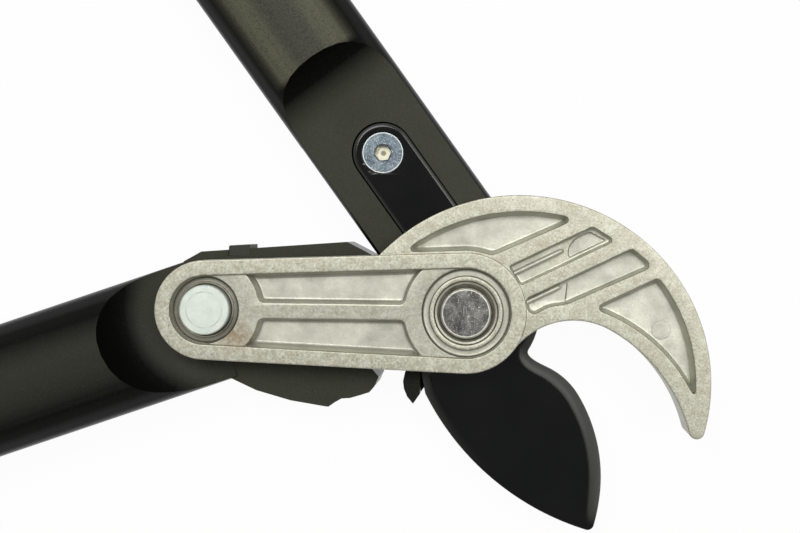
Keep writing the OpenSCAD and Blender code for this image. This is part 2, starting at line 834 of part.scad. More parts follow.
// Half section of the round cut above the flat and the boss, with the run-out into the tube
module gear_cut_2d() {
    translate([0, gear_boss_top]) square([gear_flat_r, through]);
    difference() {
        translate([gear_boss_r, gear_flat]) square([gear_flat_r + gear_runout - gear_boss_r, through]);
        difference() {
            translate([gear_flat_r, gear_flat - 1]) square([gear_runout + 5, gear_runout + 1]);
            translate([gear_flat_r, gear_flat + gear_runout - seat_play]) circle(gear_runout);
        }
    }
}

module gear_handle() color([0.16, 0.16, 0.145]) at_gear() difference() {
    union() {
        at_gear_tube() tube();
        translate([0, 0, head_back]) linear_extrude(gear_flat - head_back) gear_plate_2d();
        translate([0, 0, head_back]) cylinder(r = gear_boss_r, h = gear_boss_top - head_back);
    }
    rotate_extrude() gear_cut_2d();
    cylinder(r = bush_r + seat_play, h = through);
    pad_space();
}

// Stop pad on the upper edge of the toothed plate, in a pocket open to the front and above
stop_x = 3.7;
stop_w = 6;
stop_y = 17.3;
stop_d = 3;
stop_z = 8;
stop_low = 0.3;

module stop_pad_2d(c) {
    polygon([
        [stop_x - c, stop_y - stop_d], [stop_x + stop_w + c, stop_y - stop_d],
        [stop_x + stop_w + c, stop_y + 0.3 + c], [stop_x + 0.2 - c, stop_y - 0.1 + c],
        [stop_x - c, stop_y - 0.5 + c]
    ]);
}

module pad_space() {
    translate([stop_x, stop_y - stop_d, stop_z]) cube([stop_w, through, through]);
}

module gear_pivot_bush() color([0.7, 0.55, 0.3]) at_gear() {
    sleeve(pin_r + run_fit, bush_r, head_back, gear_boss_top);
}

module closing_stop_pad() color([0.25, 0.25, 0.24]) at_gear() {
    translate([0, 0, stop_z]) linear_extrude(gear_flat - stop_low - stop_z) stop_pad_2d(0);
}

module at_gear_tube() {
    along(gear_dir) translate([0, gear_tube_off, 0]) mirror([0, 1, 0]) children();
}

module gear_handle_grip() color([0.12, 0.12, 0.12]) at_gear() at_gear_tube() grip();

module gear_handle_end_cap() color([0.1, 0.1, 0.1]) at_gear() at_gear_tube() end_cap();

hook_anvil();
main_pivot_pin();
gear_pivot_pin();
main_thrust_washer();
gear_thrust_washer();
main_rear_washer();
gear_rear_washer();
blade();
blade_handle();
main_pivot_bush();
tang_screw();
tang_nut();
blade_handle_grip();
blade_handle_end_cap();
gear_handle();
gear_pivot_bush();
closing_stop_pad();
gear_handle_grip();
gear_handle_end_cap();
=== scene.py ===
"""Looks of the anvil lopper: detailed casting and blade, materials, softened edges, light and camera."""

import math

import bmesh
import bpy
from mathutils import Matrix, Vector
from mathutils.geometry import tessellate_polygon


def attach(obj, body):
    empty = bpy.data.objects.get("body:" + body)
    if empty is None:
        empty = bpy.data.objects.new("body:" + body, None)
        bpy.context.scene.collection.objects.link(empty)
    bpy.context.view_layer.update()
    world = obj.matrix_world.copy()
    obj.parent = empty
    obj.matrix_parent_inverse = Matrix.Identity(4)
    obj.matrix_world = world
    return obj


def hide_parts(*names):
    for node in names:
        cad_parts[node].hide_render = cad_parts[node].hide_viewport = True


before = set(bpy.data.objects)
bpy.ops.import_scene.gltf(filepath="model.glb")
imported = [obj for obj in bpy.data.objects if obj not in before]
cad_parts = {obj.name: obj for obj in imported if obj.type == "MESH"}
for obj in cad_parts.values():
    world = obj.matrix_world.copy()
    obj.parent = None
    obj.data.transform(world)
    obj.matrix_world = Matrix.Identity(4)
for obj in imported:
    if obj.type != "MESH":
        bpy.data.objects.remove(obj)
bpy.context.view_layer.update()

MM = 0.001

# Sizes of the casting that follow the part's source, in millimetres and degrees
PIVOT_SPAN = 70.0
MAIN_POS = (0.0, 0.0)
GEAR_POS = (-PIVOT_SPAN, 0.0)
BORE_R = 6.04
ARM_FRONT = 30.0
ARM_BACK = 21.4
ARM_GEAR_R = 13.3
ARM_MAIN_R = 16.2
ARM_LEAN = math.degrees(math.asin((ARM_MAIN_R - ARM_GEAR_R) / PIVOT_SPAN))
ARM_RIM = 4.1
ARM_RIB = 4.2
ARM_FLOOR_Z = 25.6
FIELD_Z = 29.0
WEB_GEAR_R = 14.6
WEB_MAIN_R = 16.6
HOOK_FRONT = 29.2
HOOK_POCKET = 4.0
HOOK_TILT = 0.75
CROWN_C = (14.24, -20.29)
CROWN_R = 51.9
CROWN_RIM = 4.4
BEAK_TURN = 36.6
BEAK_R = 49.5
ANVIL_C = (16.9, -43.1)
ANVIL_R = 44.2
THROAT_R = 20.0
TIP_R = 2.1
BAR_TILT = 25.5
PAD_BACK = 14.4
PAD_R = 30.0
PAD_X = 26.5
MOON_C = (15.1, -25.4)
MOON_BAR = (6.9, 15.3)
MOON_BAR_TILT = BAR_TILT - 2
MOON_LEFT = -14.8
MOON_RIGHT = 27.4
MOON_GAP = 0.6
BEAK_RIM = 4.2
BEAK_IN_C = (20.3, -41.7)
BEAK_IN_R = 45.0
BEAK_BAR = (36.0, 2.3)
BEAK_BAR_TILT = BAR_TILT - 0.5
BEAK_LEFT = 35.6
BEAK_LOW = -21.6
SLOT_DEPTH = 2.6
UPPER_SLOT_AT = (14.6, 7.3)
UPPER_SLOT = [(0, 0), (26.8, -0.1), (27.7, 0.8), (24.3, 6.1), (-0.7, 6.2)]
LOWER_SLOT_AT = (17.9, -0.3)
LOWER_SLOT = [
    (-0.9, 1.3), (0.3, -0.3), (4.6, 0), (9.3, -1.5), (33.2, -2.3), (34, -0.9), (31.6, 4.5), (0, 4.6),
]
LOWER_DEEP_X = 26.8
# Start and length of the low ribs on the slots' floors
RIDGES = [((13.2, 9.9), 14.8), ((16.6, 2.1), 10.2)]
# Ejector mark on the beak's floor
MARK_C = (52.7, -4.8)
MARK_R = 2.6

# Sizes of the blade, its screw and the main pin's end that follow the part's source
CLOSING = 30.0
EDGE_GAP = 0.35
EDGE_T = 0.5
BLADE_Z = 16.62
BLADE_T = 4.0
BLADE_TOP = BLADE_Z + BLADE_T
BLADE_DIR = 126.2
TANG_OFF = 6.4
TANG_SCREW_U = 48.9
TANG_W = 16.4
BACK_C = (54.31, 10.86)
BACK_R = 73.7
NOSE_R = 1.8
HEEL_TURN = 206.5
HEEL_LINE = [(-12.4, -17.4), (-10.6, -14.6), (-8.0, -6.0)]
HUB_R = 15.0
BUSH_R = 8.0
BUSH_PLAY = 0.02
SCREW_HOLE_R = 3.2
SCREW_HEAD_R = 5.6
HEAD_PLAY = 0.05
SEAT_DEPTH = 2.6
SCREW_TOP = 20.47
MAIN_DISC_R = 6.8

# Sizes and counts of the casting's looks alone
ARM_STEPS = 56
HOOK_LAP = 2.0
HOOK_STEP_IN = (0.4, -2.2)
HOOK_BACK_TURN = 92.0
WEB_LAP = 0.5
WEB_UNDER_RIM = 2.0
WEB_ROUND = 1.6
MOON_ROUND = 1.5
BEAK_ROUND = 1.3
SLOT_ROUND = 1.0
POCKET_DRAFT = 0.2
SLOT_DRAFT = 0.16
UPPER_SLOT_WALL = 0.6
RECESS_U = (14.9, 26.2)
RECESS_V = (1.02, 5.15)
RECESS_BOW = 5.0
RECESS_LEAN = 3.1
RECESS_PULLS = [(2.4, 0.0), (0.4, -1.5)]
RECESS_DEPTH = 0.9
RECESS_ROUND = 0.8
RECESS_WALL = 0.5
RIB_W = 1.5
RIB_H = 1.6
RIB_SINK = 0.3
RIB_STEPS = 12
# Distance from the far end and share of the full section
RIB_END = [(1.2, 1.0), (0.5, 0.85), (0.0, 0.35)]

# Sizes and shares of the blade's looks alone: its shoulder, its edges, and the abrasion and painted
# highlights on them
HUB_PULL = 4.0
SHOULDER_R = 20.0
SHOULDER_LEAD = -8.0
SHOULDER_START = -14.0
SHOULDER_END = -31.0
SHOULDER_PULL = 2.4
SHOULDER_SHARE = 0.6
KNEE_START = 65.0
KNEE_PULL = 3.6
SHARE_PASSES = 60
BEVEL_W = 3.6
SOFT_EDGE = 0.3
RIM_INSET = 0.12
# Width and drop of the rounding
TANG_SOFT = (1.0, 0.28)
BACK_SOFT = (2.4, 0.42)
TANG_FADE_Y = (-8.0, 0.0)
# The tang's rim and the back's upper part get painted highlights; the ground band and the very rim are
# lighter partly from abrasion, partly as painted sheen
BACK_HIGHLIGHT_FADE_Y = (-45.0, -15.0)
TANG_HIGHLIGHT = 0.9
BACK_HIGHLIGHT = 0.6
GROUND_WEAR_AND_SHEEN = 1.35
RIM_WEAR_AND_SHEEN = 0.6
EDGE_STEPS = (0, 0.15, 0.3, 0.45, 0.6, 0.75, 0.9, 1.0)

# Places of marks, of painted light and shade, and of fades in the materials
STAIN_C = (-61.5, -7.2)
HEEL_SHADE_C = (-13.5, -21.0)
GEAR_RING_R = 4.8
BLADE_HANDLE_Y = (25, 55)
BLADE_TUBE_START = (77.5, 79.5)
TUBE_Z = (24.5, 27.5)

# Angles for softened edges, and the distance at which a node's points are joined
SHELL_SHARP = 38
SMOOTH_BELOW = 28
BEVEL_ABOVE = 35
MERGE_MM = 0.004

# Floor and light in metres and watts, camera in millimetres
FLOOR_HALF = 12.0
FLOOR_GLOW = 0.96
WORLD_STRENGTH = 0.26
LIT_POINT = (-0.02, 0.02, 0.02)
LAMP_SIDE = 0.7
KEY_AT = (-0.42, 0.64, 1.5)
KEY_WATTS = 11.5
FILL_AT = (0.55, 0.32, 1.5)
FILL_WATTS = 9.2
CAMERA_AT = (8.8, 21.05, 343)


# Plane geometry

def polar(r, angle):
    return (r * math.cos(math.radians(angle)), r * math.sin(math.radians(angle)))


def add(p, q):
    return (p[0] + q[0], p[1] + q[1])


def sub(p, q):
    return (p[0] - q[0], p[1] - q[1])


def angle_of(p):
    return math.degrees(math.atan2(p[1], p[0]))


def turn(p, angle):
    c, s = math.cos(math.radians(angle)), math.sin(math.radians(angle))
    return (p[0] * c - p[1] * s, p[0] * s + p[1] * c)


def fraction(value, low, high):
    """How far a value is on its way from low to high, from 0 to 1."""
    return min(1.0, max(0.0, (value - low) / (high - low)))


def arc(centre, r, start, stop, steps):
    return [add(centre, polar(r, start + (stop - start) * i / steps)) for i in range(steps + 1)]


def arc_between(centre, r, p, q, steps):
    return arc(centre, r, angle_of(sub(p, centre)), angle_of(sub(q, centre)), steps)


def bowed(p0, p1, p2, p3, steps=20):
    """A cubic curve by its four control points."""
    made = []
    for i in range(steps + 1):
        t = i / steps
        a, b, c, d = (1 - t) ** 3, 3 * t * (1 - t) ** 2, 3 * t * t * (1 - t), t ** 3
        made.append(tuple(a * p0[j] + b * p1[j] + c * p2[j] + d * p3[j] for j in (0, 1)))
    return made


def circles_meet(c1, r1, c2, r2, side):
    d = math.dist(c1, c2)
    ex, ey = (c2[0] - c1[0]) / d, (c2[1] - c1[1]) / d
    h = (r1 * r1 - r2 * r2 + d * d) / (2 * d)
    k = side * math.sqrt(r1 * r1 - h * h)
    return (c1[0] + ex * h - k * ey, c1[1] + ey * h + k * ex)


def line_circle(p, q, centre, r, far):
    """Where the line from p to q meets the circle: the far or the near crossing."""
    dx, dy = q[0] - p[0], q[1] - p[1]
    length = math.hypot(dx, dy)
    dx, dy = dx / length, dy / length
    fx, fy = p[0] - centre[0], p[1] - centre[1]
    b = fx * dx + fy * dy
    root = math.sqrt(b * b - fx * fx - fy * fy + r * r)
    t = -b + root if far else -b - root
    return (p[0] + t * dx, p[1] + t * dy)


def fine_run(run, step):
    """A polyline with more points on its long stretches."""
    made = [run[0]]
    for a, b in zip(run, run[1:]):
        n = max(1, round(math.dist(a, b) / step))
        made += [(a[0] + (b[0] - a[0]) * i / n, a[1] + (b[1] - a[1]) * i / n) for i in range(1, n + 1)]
    return made


def fine_loop(loop, step):
    return fine_run(loop + loop[:1], step)[:-1]


def trimmed(run, cut):
    """A polyline shortened by cut at both ends."""
    length = sum(math.dist(a, b) for a, b in zip(run, run[1:]))
    cut = min(cut, 0.42 * length)

    def shorten(points):
        left = cut
        points = list(points)
        while len(points) > 2 and math.dist(points[0], points[1]) <= left:
            left -= math.dist(points[0], points[1])
            points.pop(0)
        share = left / max(math.dist(points[0], points[1]), 1e-9)
        a, b = points[0], points[1]
        points[0] = (a[0] + (b[0] - a[0]) * share, a[1] + (b[1] - a[1]) * share)
        return points

    return shorten(shorten(run)[::-1])[::-1]


def rounded_loop(runs, cut, steps=5):
    """Joins runs that share their end points to one loop, with its corners rounded."""
    loop = []
    short = [trimmed(run, cut) for run in runs]
    for i, run in enumerate(runs):
        corner, after = run[-1], short[(i + 1) % len(runs)][0]
        before = short[i][-1]
        loop += short[i]
        for k in range(1, steps):
            t = k / steps
            a, b, c = (1 - t) ** 2, 2 * t * (1 - t), t * t
            loop.append(tuple(a * before[j] + b * corner[j] + c * after[j] for j in (0, 1)))
    return loop


def polygon_runs(corners):
    return [[a, b] for a, b in zip(corners, corners[1:] + corners[:1])]


def inset(loop, d):
    """The loop moved to its left, which is inwards on an anticlockwise one, by d or a list of them."""
    made = []
    n = len(loop)
    shifts = d if isinstance(d, list) else [d] * n
    for i, p in enumerate(loop):
        a, b = loop[i - 1], loop[(i + 1) % n]
        e1 = Vector((p[0] - a[0], p[1] - a[1])).normalized()
        e2 = Vector((b[0] - p[0], b[1] - p[1])).normalized()
        n1, n2 = Vector((-e1.y, e1.x)), Vector((-e2.y, e2.x))
        middle = (n1 + n2).normalized()
        step = shifts[i] / max(middle.dot(n1), 0.5)
        made.append((p[0] + middle.x * step, p[1] + middle.y * step))
    return made


# Outlines of the casting

BEAK_C = add(CROWN_C, polar(CROWN_R - BEAK_R, BEAK_TURN))
THROAT_C = circles_meet(MAIN_POS, ARM_MAIN_R + THROAT_R, ANVIL_C, ANVIL_R - THROAT_R, 1)


def tilted(loop):
    return [turn(p, HOOK_TILT) for p in loop]


def placed(corners, at):
    """Brings points from a slot's own axes into the hook's."""
    return [add(at, turn(p, BAR_TILT)) for p in corners]


def arm_loop(grow):
    """The arm grown by a distance: its main end, then its gear end."""
    return (arc(MAIN_POS, ARM_MAIN_R + grow, -90 - ARM_LEAN, 90 + ARM_LEAN, ARM_STEPS)
            + arc(GEAR_POS, ARM_GEAR_R + grow, 90 + ARM_LEAN, 270 - ARM_LEAN, 48))


def hook_edge():
    """Outer edge of the hook from the throat round the beak to the arm's upper edge."""
    tip_c = circles_meet(BEAK_C, BEAK_R - TIP_R, ANVIL_C, ANVIL_R + TIP_R, 1)
    upper = polar(ARM_MAIN_R, 90 + ARM_LEAN)
    crown_row = turn(CROWN_C, HOOK_TILT)
    crown_end = line_circle(upper, add(upper, polar(1, 180 + ARM_LEAN)), crown_row, CROWN_R, True)
    throat_foot = angle_of((-THROAT_C[0], -THROAT_C[1]))
    to_throat = angle_of(sub(THROAT_C, ANVIL_C))
    to_tip = angle_of(sub(tip_c, ANVIL_C))
    beak_start = angle_of(sub(tip_c, BEAK_C))
    return tilted(
        arc(THROAT_C, THROAT_R, throat_foot, to_throat, 20)
        + arc(ANVIL_C, ANVIL_R, to_throat, to_tip, 48)[1:]
        + arc(tip_c, TIP_R, angle_of(sub(ANVIL_C, tip_c)), beak_start, 14)[1:]
        + arc(BEAK_C, BEAK_R, beak_start, BEAK_TURN, 48)[1:]
        + arc(CROWN_C, CROWN_R, BEAK_TURN, angle_of(sub(crown_end, crown_row)) - HOOK_TILT, 56)[1:]
    )


def hook_loop():
    """The hook's plate; its hidden side runs inside the rim of the arm."""
    outer = hook_edge()
    back = arc(MAIN_POS, ARM_MAIN_R - HOOK_LAP, HOOK_BACK_TURN, angle_of(outer[0]), 36)
    return outer + [add(outer[-1], HOOK_STEP_IN)] + back


def moon_runs():
    """The pocket under the crown."""
    r = CROWN_C[1] + CROWN_R - CROWN_RIM - MOON_C[1]
    low_r = ARM_MAIN_R + MOON_GAP
    lean = ARM_LEAN - HOOK_TILT

    def under_crown(x):
        return (x, MOON_C[1] + math.sqrt(r * r - (x - MOON_C[0]) ** 2))

    bar_start = polar(low_r, angle_of(MOON_BAR))
    bar_rise = math.tan(math.radians(MOON_BAR_TILT))
    bar_end = (MOON_RIGHT, bar_start[1] + (MOON_RIGHT - bar_start[0]) * bar_rise)
    top_right, top_left = under_crown(MOON_RIGHT), under_crown(MOON_LEFT)
    arm_end = polar(low_r, 90 + lean)
    low_left = (MOON_LEFT, arm_end[1] - (arm_end[0] - MOON_LEFT) * math.tan(math.radians(lean)))
    return [
        [bar_start, bar_end], [bar_end, top_right],
        arc_between(MOON_C, r, top_right, top_left, 40), [top_left, low_left],
        [low_left] + arc(MAIN_POS, low_r, 90 + lean, angle_of(bar_start), 14),
    ]


def beak_runs():
    """The pocket along the beak."""
    outer_r = BEAK_R - BEAK_RIM
    bar_rise = math.tan(math.radians(BEAK_BAR_TILT))
    top_left = (BEAK_LEFT, BEAK_BAR[1] + (BEAK_LEFT - BEAK_BAR[0]) * bar_rise)
    low_left = (BEAK_LEFT, BEAK_IN_C[1] + math.sqrt(BEAK_IN_R ** 2 - (BEAK_LEFT - BEAK_IN_C[0]) ** 2))
    top_right = line_circle(BEAK_BAR, add(BEAK_BAR, polar(1, BEAK_BAR_TILT)), BEAK_C, outer_r, True)
    low_line = ((0.0, BEAK_LOW), (1.0, BEAK_LOW))
    in_end = line_circle(*low_line, BEAK_IN_C, BEAK_IN_R, True)
    out_end = line_circle(*low_line, BEAK_C, outer_r, True)
    return [
        arc_between(BEAK_IN_C, BEAK_IN_R, low_left, in_end, 36), [in_end, out_end],
        arc_between(BEAK_C, outer_r, out_end, top_right, 36), [top_right, top_left], [top_left, low_left],
    ]


def recess_runs():
    """The recess in the upper slot, rounded to its left, in the slot's own axes."""
    (left, right), (low, high) = RECESS_U, RECESS_V
    start, end = (left + RECESS_BOW, high), (right - RECESS_LEAN, high)
    pulls = [add((left, high), p) for p in RECESS_PULLS]
    return [
        bowed(start, *pulls, (left, low)), [(left, low), (right, low)], [(right, low), end], [end, start],
    ]


def web_loop():
    """Bosses and middle rib of the arm; the ends run into the rim."""
    edge = arm_loop(WEB_LAP - ARM_RIM)
    main_end, gear_end = edge[:ARM_STEPS + 1], edge[ARM_STEPS + 1:]
    low_line, up_line = (gear_end[-1], main_end[0]), (main_end[-1], gear_end[0])
    p1 = line_circle(*low_line, GEAR_POS, WEB_GEAR_R, True)
    p2 = line_circle(*low_line, MAIN_POS, WEB_MAIN_R, False)
    p3 = line_circle(*up_line, MAIN_POS, WEB_MAIN_R, True)
    p4 = line_circle(*up_line, GEAR_POS, WEB_GEAR_R, False)
    gear_a = math.degrees(math.asin(ARM_RIB / 2 / WEB_GEAR_R))
    main_a = math.degrees(math.asin(ARM_RIB / 2 / WEB_MAIN_R))
    low_g = arc(GEAR_POS, WEB_GEAR_R, angle_of(sub(p1, GEAR_POS)), -gear_a, 14)
    low_m = arc(MAIN_POS, WEB_MAIN_R, 180 + main_a, angle_of(p2) % 360, 14)
    up_m = arc(MAIN_POS, WEB_MAIN_R, angle_of(p3), 180 - main_a, 14)
    up_g = arc(GEAR_POS, WEB_GEAR_R, gear_a, angle_of(sub(p4, GEAR_POS)), 14)
    return rounded_loop([
        low_g, [low_g[-1], low_m[0]], low_m, [p2] + main_end + [p3],
        up_m, [up_m[-1], up_g[0]], up_g, [p4] + gear_end + [p1],
    ], WEB_ROUND, 6)


# Profiles: inset or radius, height, floor value and crease value, which paints shade and grime

# A lip's heights count from the pocket's top, a foot's from its floor
POCKET_LIP = [
    (-0.4, 0.0, 0.0, 0.0), (-0.1, -0.04, 0.0, 0.15), (0.03, -0.2, 0.1, 0.5), (0.1, -0.55, 0.35, 0.12),
]
POCKET_FOOT = [
    (0.0, 0.85, 0.6, 0.0), (0.1, 0.4, 0.8, 0.04), (0.3, 0.1, 1.0, 0.0), (0.62, 0.0, 1.0, 0.0),
]
RIM_WALL = [
    (1.5, ARM_BACK, 1.0, 0.0), (1.5, ARM_FLOOR_Z, 1.0, 0.1), (1.0, ARM_FLOOR_Z + 0.12, 1.0, 0.35),
    (0.68, ARM_FLOOR_Z + 0.5, 0.7, 0.15), (0.12, ARM_FRONT - 0.7, 0.2, 0.2),
    (0.0, ARM_FRONT - 0.3, 0.0, 0.5), (-0.14, ARM_FRONT - 0.07, 0.0, 0.15), (-0.45, ARM_FRONT, 0.0, 0.0),
]
WEB_WALL = [
    (0.4, FIELD_Z, 0.4, 0.0), (0.12, FIELD_Z - 0.07, 0.3, 0.1), (0.0, FIELD_Z - 0.3, 0.2, 0.3),
    (-0.5, ARM_FLOOR_Z + 0.6, 0.7, 0.2), (-0.68, ARM_FLOOR_Z + 0.2, 0.9, 0.45),
    (-0.95, ARM_FLOOR_Z + 0.05, 1.0, 0.25), (-1.3, ARM_FLOOR_Z, 1.0, 0.0),
]
MAIN_BOSS = [
    (12.25, 29.0, 0.2, 0.2), (11.95, 28.9, 0.2, 0.6), (11.78, 28.45, 0.3, 1.0), (11.62, 27.98, 0.4, 0.8),
    (11.35, 27.82, 0.5, 0.2), (11.1, 27.78, 0.6, 0.0), (10.15, 27.78, 0.6, 0.3), (10.02, 27.85, 0.4, 0.9),
    (9.92, 28.5, 0.2, 0.8), (9.78, 28.88, 0.0, 0.1), (9.55, 29.0, 0.0, 0.0), (8.95, 29.0, 0.0, 0.0),
    (8.72, 28.9, 0.0, 0.2), (8.58, 28.5, 0.2, 1.0), (8.45, 28.15, 0.4, 1.0), (8.28, 28.08, 0.4, 0.35),
    (7.95, 28.08, 0.4, 0.3), (7.8, 28.0, 0.5, 0.9), (7.1, 27.7, 0.5, 1.0), (6.9, 27.6, 0.5, 1.0),
    (6.84, 25.0, 0.5, 1.0), (BORE_R, 25.0, 0.5, 1.0), (BORE_R, ARM_BACK, 0.5, 1.0),
]
GEAR_BOSS = [
    (9.35, 29.0, 0.2, 0.1), (9.15, 28.9, 0.2, 0.5), (8.95, 28.45, 0.3, 0.9), (8.8, 27.7, 0.5, 0.95),
    (8.5, 27.4, 0.6, 0.85), (7.75, 27.35, 0.6, 0.75), (7.6, 27.4, 0.4, 0.9), (7.5, 27.7, 0.2, 0.65),
    (7.3, 27.8, 0.2, 0.5), (7.1, 27.75, 0.3, 0.8), (6.95, 27.3, 0.4, 1.0), (6.75, 27.1, 0.5, 1.0),
    (6.74, 25.0, 0.5, 1.0), (BORE_R, 25.0, 0.5, 1.0), (BORE_R, ARM_BACK, 0.5, 1.0),
]
MARK_FLOOR = HOOK_FRONT - HOOK_POCKET
MARK_RING = [
    (MARK_R, MARK_FLOOR - 0.3, 1.0, 0.0), (MARK_R, MARK_FLOOR, 1.0, 0.3),
    (MARK_R - 0.05, MARK_FLOOR + 0.08, 1.0, 0.3), (MARK_R - 0.3, MARK_FLOOR + 0.1, 1.0, 0.0),
]


def outer_profile(back, front):
    """Inset, height and crease value of an outer wall with rounded edges at both ends."""
    return [
        (0.35, back, 0.0), (0.1, back + 0.1, 0.0), (0.0, back + 0.35, 0.1), (0.0, front - 0.9, 0.1),
        (0.0, front - 0.45, 0.55), (0.07, front - 0.25, 0.5), (0.18, front - 0.07, 0.1), (0.5, front, 0.0),
    ]


# Casting and blade: closed shells made of rings over plane outlines

class Shells:
    """Collects closed shells in one mesh, with two values at each point for the material.

    The floor value marks a pocket's floor on the casting, and on the blade its abrasion and painted
    highlights.
    The crease value marks creases, grooves and edge lines that are painted darker, partly as grime and
    partly as painted shade.
    """

    def __init__(self):
        self.bm = bmesh.new()
        self.floor = self.bm.verts.layers.float.new("floor")
        self.crease = self.bm.verts.layers.float.new("crease")

    def ring(self, loop, z, floor=0.0, crease=0.0):
        made = []
        heights = z if isinstance(z, list) else [z] * len(loop)
        floors = floor if isinstance(floor, list) else [floor] * len(loop)
        for (x, y), height, value in zip(loop, heights, floors):
            v = self.bm.verts.new((x * MM, y * MM, height * MM))
            v[self.floor] = value
            v[self.crease] = crease
            made.append(v)
        return made

    def strip(self, lower, upper):
        n = len(lower)
        for i in range(n):
            k = (i + 1) % n
            self.bm.faces.new((lower[i], lower[k], upper[k], upper[i]))

    def loft(self, rings):
        for lower, upper in zip(rings, rings[1:]):
            self.strip(lower, upper)
        return rings

    def profile_rings(self, loop, profile):
        """The rings of a profile along an outline."""
        return [self.ring(inset(loop, d), z, floor, crease) for d, z, floor, crease in profile]

    def fill(self, outer, holes=()):
        rings = [outer, *holes]
        flat = [v for ring in rings for v in ring]
        for tri in tessellate_polygon([[Vector((v.co.x, v.co.y, 0)) for v in ring] for ring in rings]):
            corners = [flat[i] for i in tri]
            if len(set(corners)) == 3:
                self.bm.faces.new(corners)

    def walls(self, loop, top, depths, draft, scale=1.0):
        """Rounded lip, leaning wall and rounded foot of a sunk field; gives its first and last ring."""
        lean = draft * min(depths)
        rings = []
        for d, z, floor, crease in POCKET_LIP:
            rings.append(self.ring(inset(loop, scale * d), top + scale * z, floor, crease))
        for d, z, floor, crease in POCKET_FOOT:
            heights = [top - deep + scale * z for deep in depths]
            rings.append(self.ring(inset(loop, lean + scale * d), heights, floor, crease))
        self.loft(rings)
        return rings[0], rings[-1]

    def pocket(self, loop, top, depth):
        first, last = self.walls(loop, top, [depth] * len(loop), POCKET_DRAFT)
        self.fill(last)
        return first

    def nested_pocket(self, loop, top, depth, inner, inner_depth):
        """A pocket with a shallow recess in its floor."""
        first, edge = self.walls(loop, top, [depth] * len(loop), SLOT_DRAFT, UPPER_SLOT_WALL)
        rim, last = self.walls(inner, top - depth, [inner_depth] * len(inner), SLOT_DRAFT, RECESS_WALL)
        self.fill(edge, [rim])
        self.fill(last)
        return first

    def stepped_pocket(self, loop, top, depths):
        """A pocket with two floors and a low wall straight across between them."""
        first, last = self.walls(loop, top, depths, SLOT_DRAFT)
        deep = [d > min(depths) for d in depths]
        start = next(i for i in range(len(loop)) if deep[i] and not deep[i - 1])
        order = last[start:] + last[:start]
        count = (deep[start:] + deep[:start]).index(False)
        low, high = order[:count], order[count:]
        upper = [high[0], *self.across(high[0].co, high[-1].co, 0.0), high[-1]]
        lower = [low[-1], *self.across(low[-1].co, low[0].co, 1.0), low[0]]
        inner = [low[-2], *self.across(low[-2].co, low[1].co, 0.0), low[1]]
        for rows in ((upper, lower), (lower, inner)):
            for a, b, c, d in zip(rows[0], rows[0][1:], rows[1][1:], rows[1]):
                self.bm.faces.new((a, b, c, d))
        self.fill(low[1:-1] + inner[1:-1])
        self.fill(high + upper[-2:0:-1])
        return first

    def across(self, a, b, crease, steps=14):
        """Points on the straight line between two corners of a floor."""
        made = []
        for i in range(1, steps):
            x, y, z = ((p + (q - p) * (i / steps)) / MM for p, q in zip(a, b))
            made += self.ring([(x, y)], z, 1.0, crease)
        return made

    def rib(self, at, length, lean, base):
        """A rounded rib on a floor, running out at its far end."""
        rings = []
        row = [180 * i / RIB_STEPS for i in range(RIB_STEPS + 1)]
        for along, share in [(0.0, 1.0)] + [(length - back, share) for back, share in RIB_END]:
            across = [share * RIB_W / 2 * math.cos(math.radians(a)) for a in row]
            rise = RIB_SINK + share * RIB_H
            heights = [base - RIB_SINK + rise * math.sin(math.radians(a)) ** 0.6 for a in row]
            loop = [add(at, turn((along, RIB_W / 2 + v), lean)) for v in across]
            rings.append(self.ring(loop, heights, 0.6, 0.0))
            for v, a in zip(rings[-1], row):
                v[self.crease] = 0.6 if a < 30 or a > 150 else 0.0
        self.loft(rings)
        self.bm.faces.new(rings[0])
        self.bm.faces.new(rings[-1])

    def lathe(self, centre, profile, steps=96):
        """Rings round a pivot; gives the first and the last one."""
        rings = []
        for r, z, floor, crease in profile:
            circle = arc(centre, r, 0, 360 - 360 / steps, steps - 1)
            rings.append(self.ring(circle, z, floor, crease))
        self.loft(rings)
        return rings[0], rings[-1]

    def mesh(self, name):
        bmesh.ops.recalc_face_normals(self.bm, faces=self.bm.faces[:])
        for f in self.bm.faces:
            f.smooth = True
        for e in self.bm.edges:
            e.smooth = len(e.link_faces) == 2 and e.calc_face_angle(0.0) < math.radians(SHELL_SHARP)
        made = bpy.data.meshes.new(name)
        self.bm.to_mesh(made)
        self.bm.free()
        return made


def build_rim(shells):
    outer = arm_loop(0.0)
    rings = shells.profile_rings(arm_loop(-ARM_RIM), RIM_WALL)
    for d, z, crease in reversed(outer_profile(ARM_BACK, ARM_FRONT)):
        rings.append(shells.ring(inset(outer, d), z, 0.0, crease))
    shells.loft(rings + [rings[0]])


def build_web(shells):
    rings = shells.loft(shells.profile_rings(web_loop(), WEB_WALL))
    main_top, main_low = shells.lathe(MAIN_POS, MAIN_BOSS)
    gear_top, gear_low = shells.lathe(GEAR_POS, GEAR_BOSS)
    shells.fill(rings[0], [main_top, gear_top])
    grown = arm_loop(WEB_UNDER_RIM - ARM_RIM)
    floor_edge = shells.ring(grown, ARM_FLOOR_Z, 1.0, 0.0)
    shells.fill(floor_edge, [rings[-1]])
    back_edge = shells.ring(grown, ARM_BACK)
    shells.strip(floor_edge, back_edge)
    shells.fill(back_edge, [main_low, gear_low])


def upper_slot(shells):
    loop = rounded_loop(polygon_runs(placed(UPPER_SLOT, UPPER_SLOT_AT)), SLOT_ROUND)
    recess = placed(rounded_loop(recess_runs(), RECESS_ROUND), UPPER_SLOT_AT)
    return shells.nested_pocket(tilted(loop), HOOK_FRONT, SLOT_DEPTH, tilted(recess), RECESS_DEPTH)


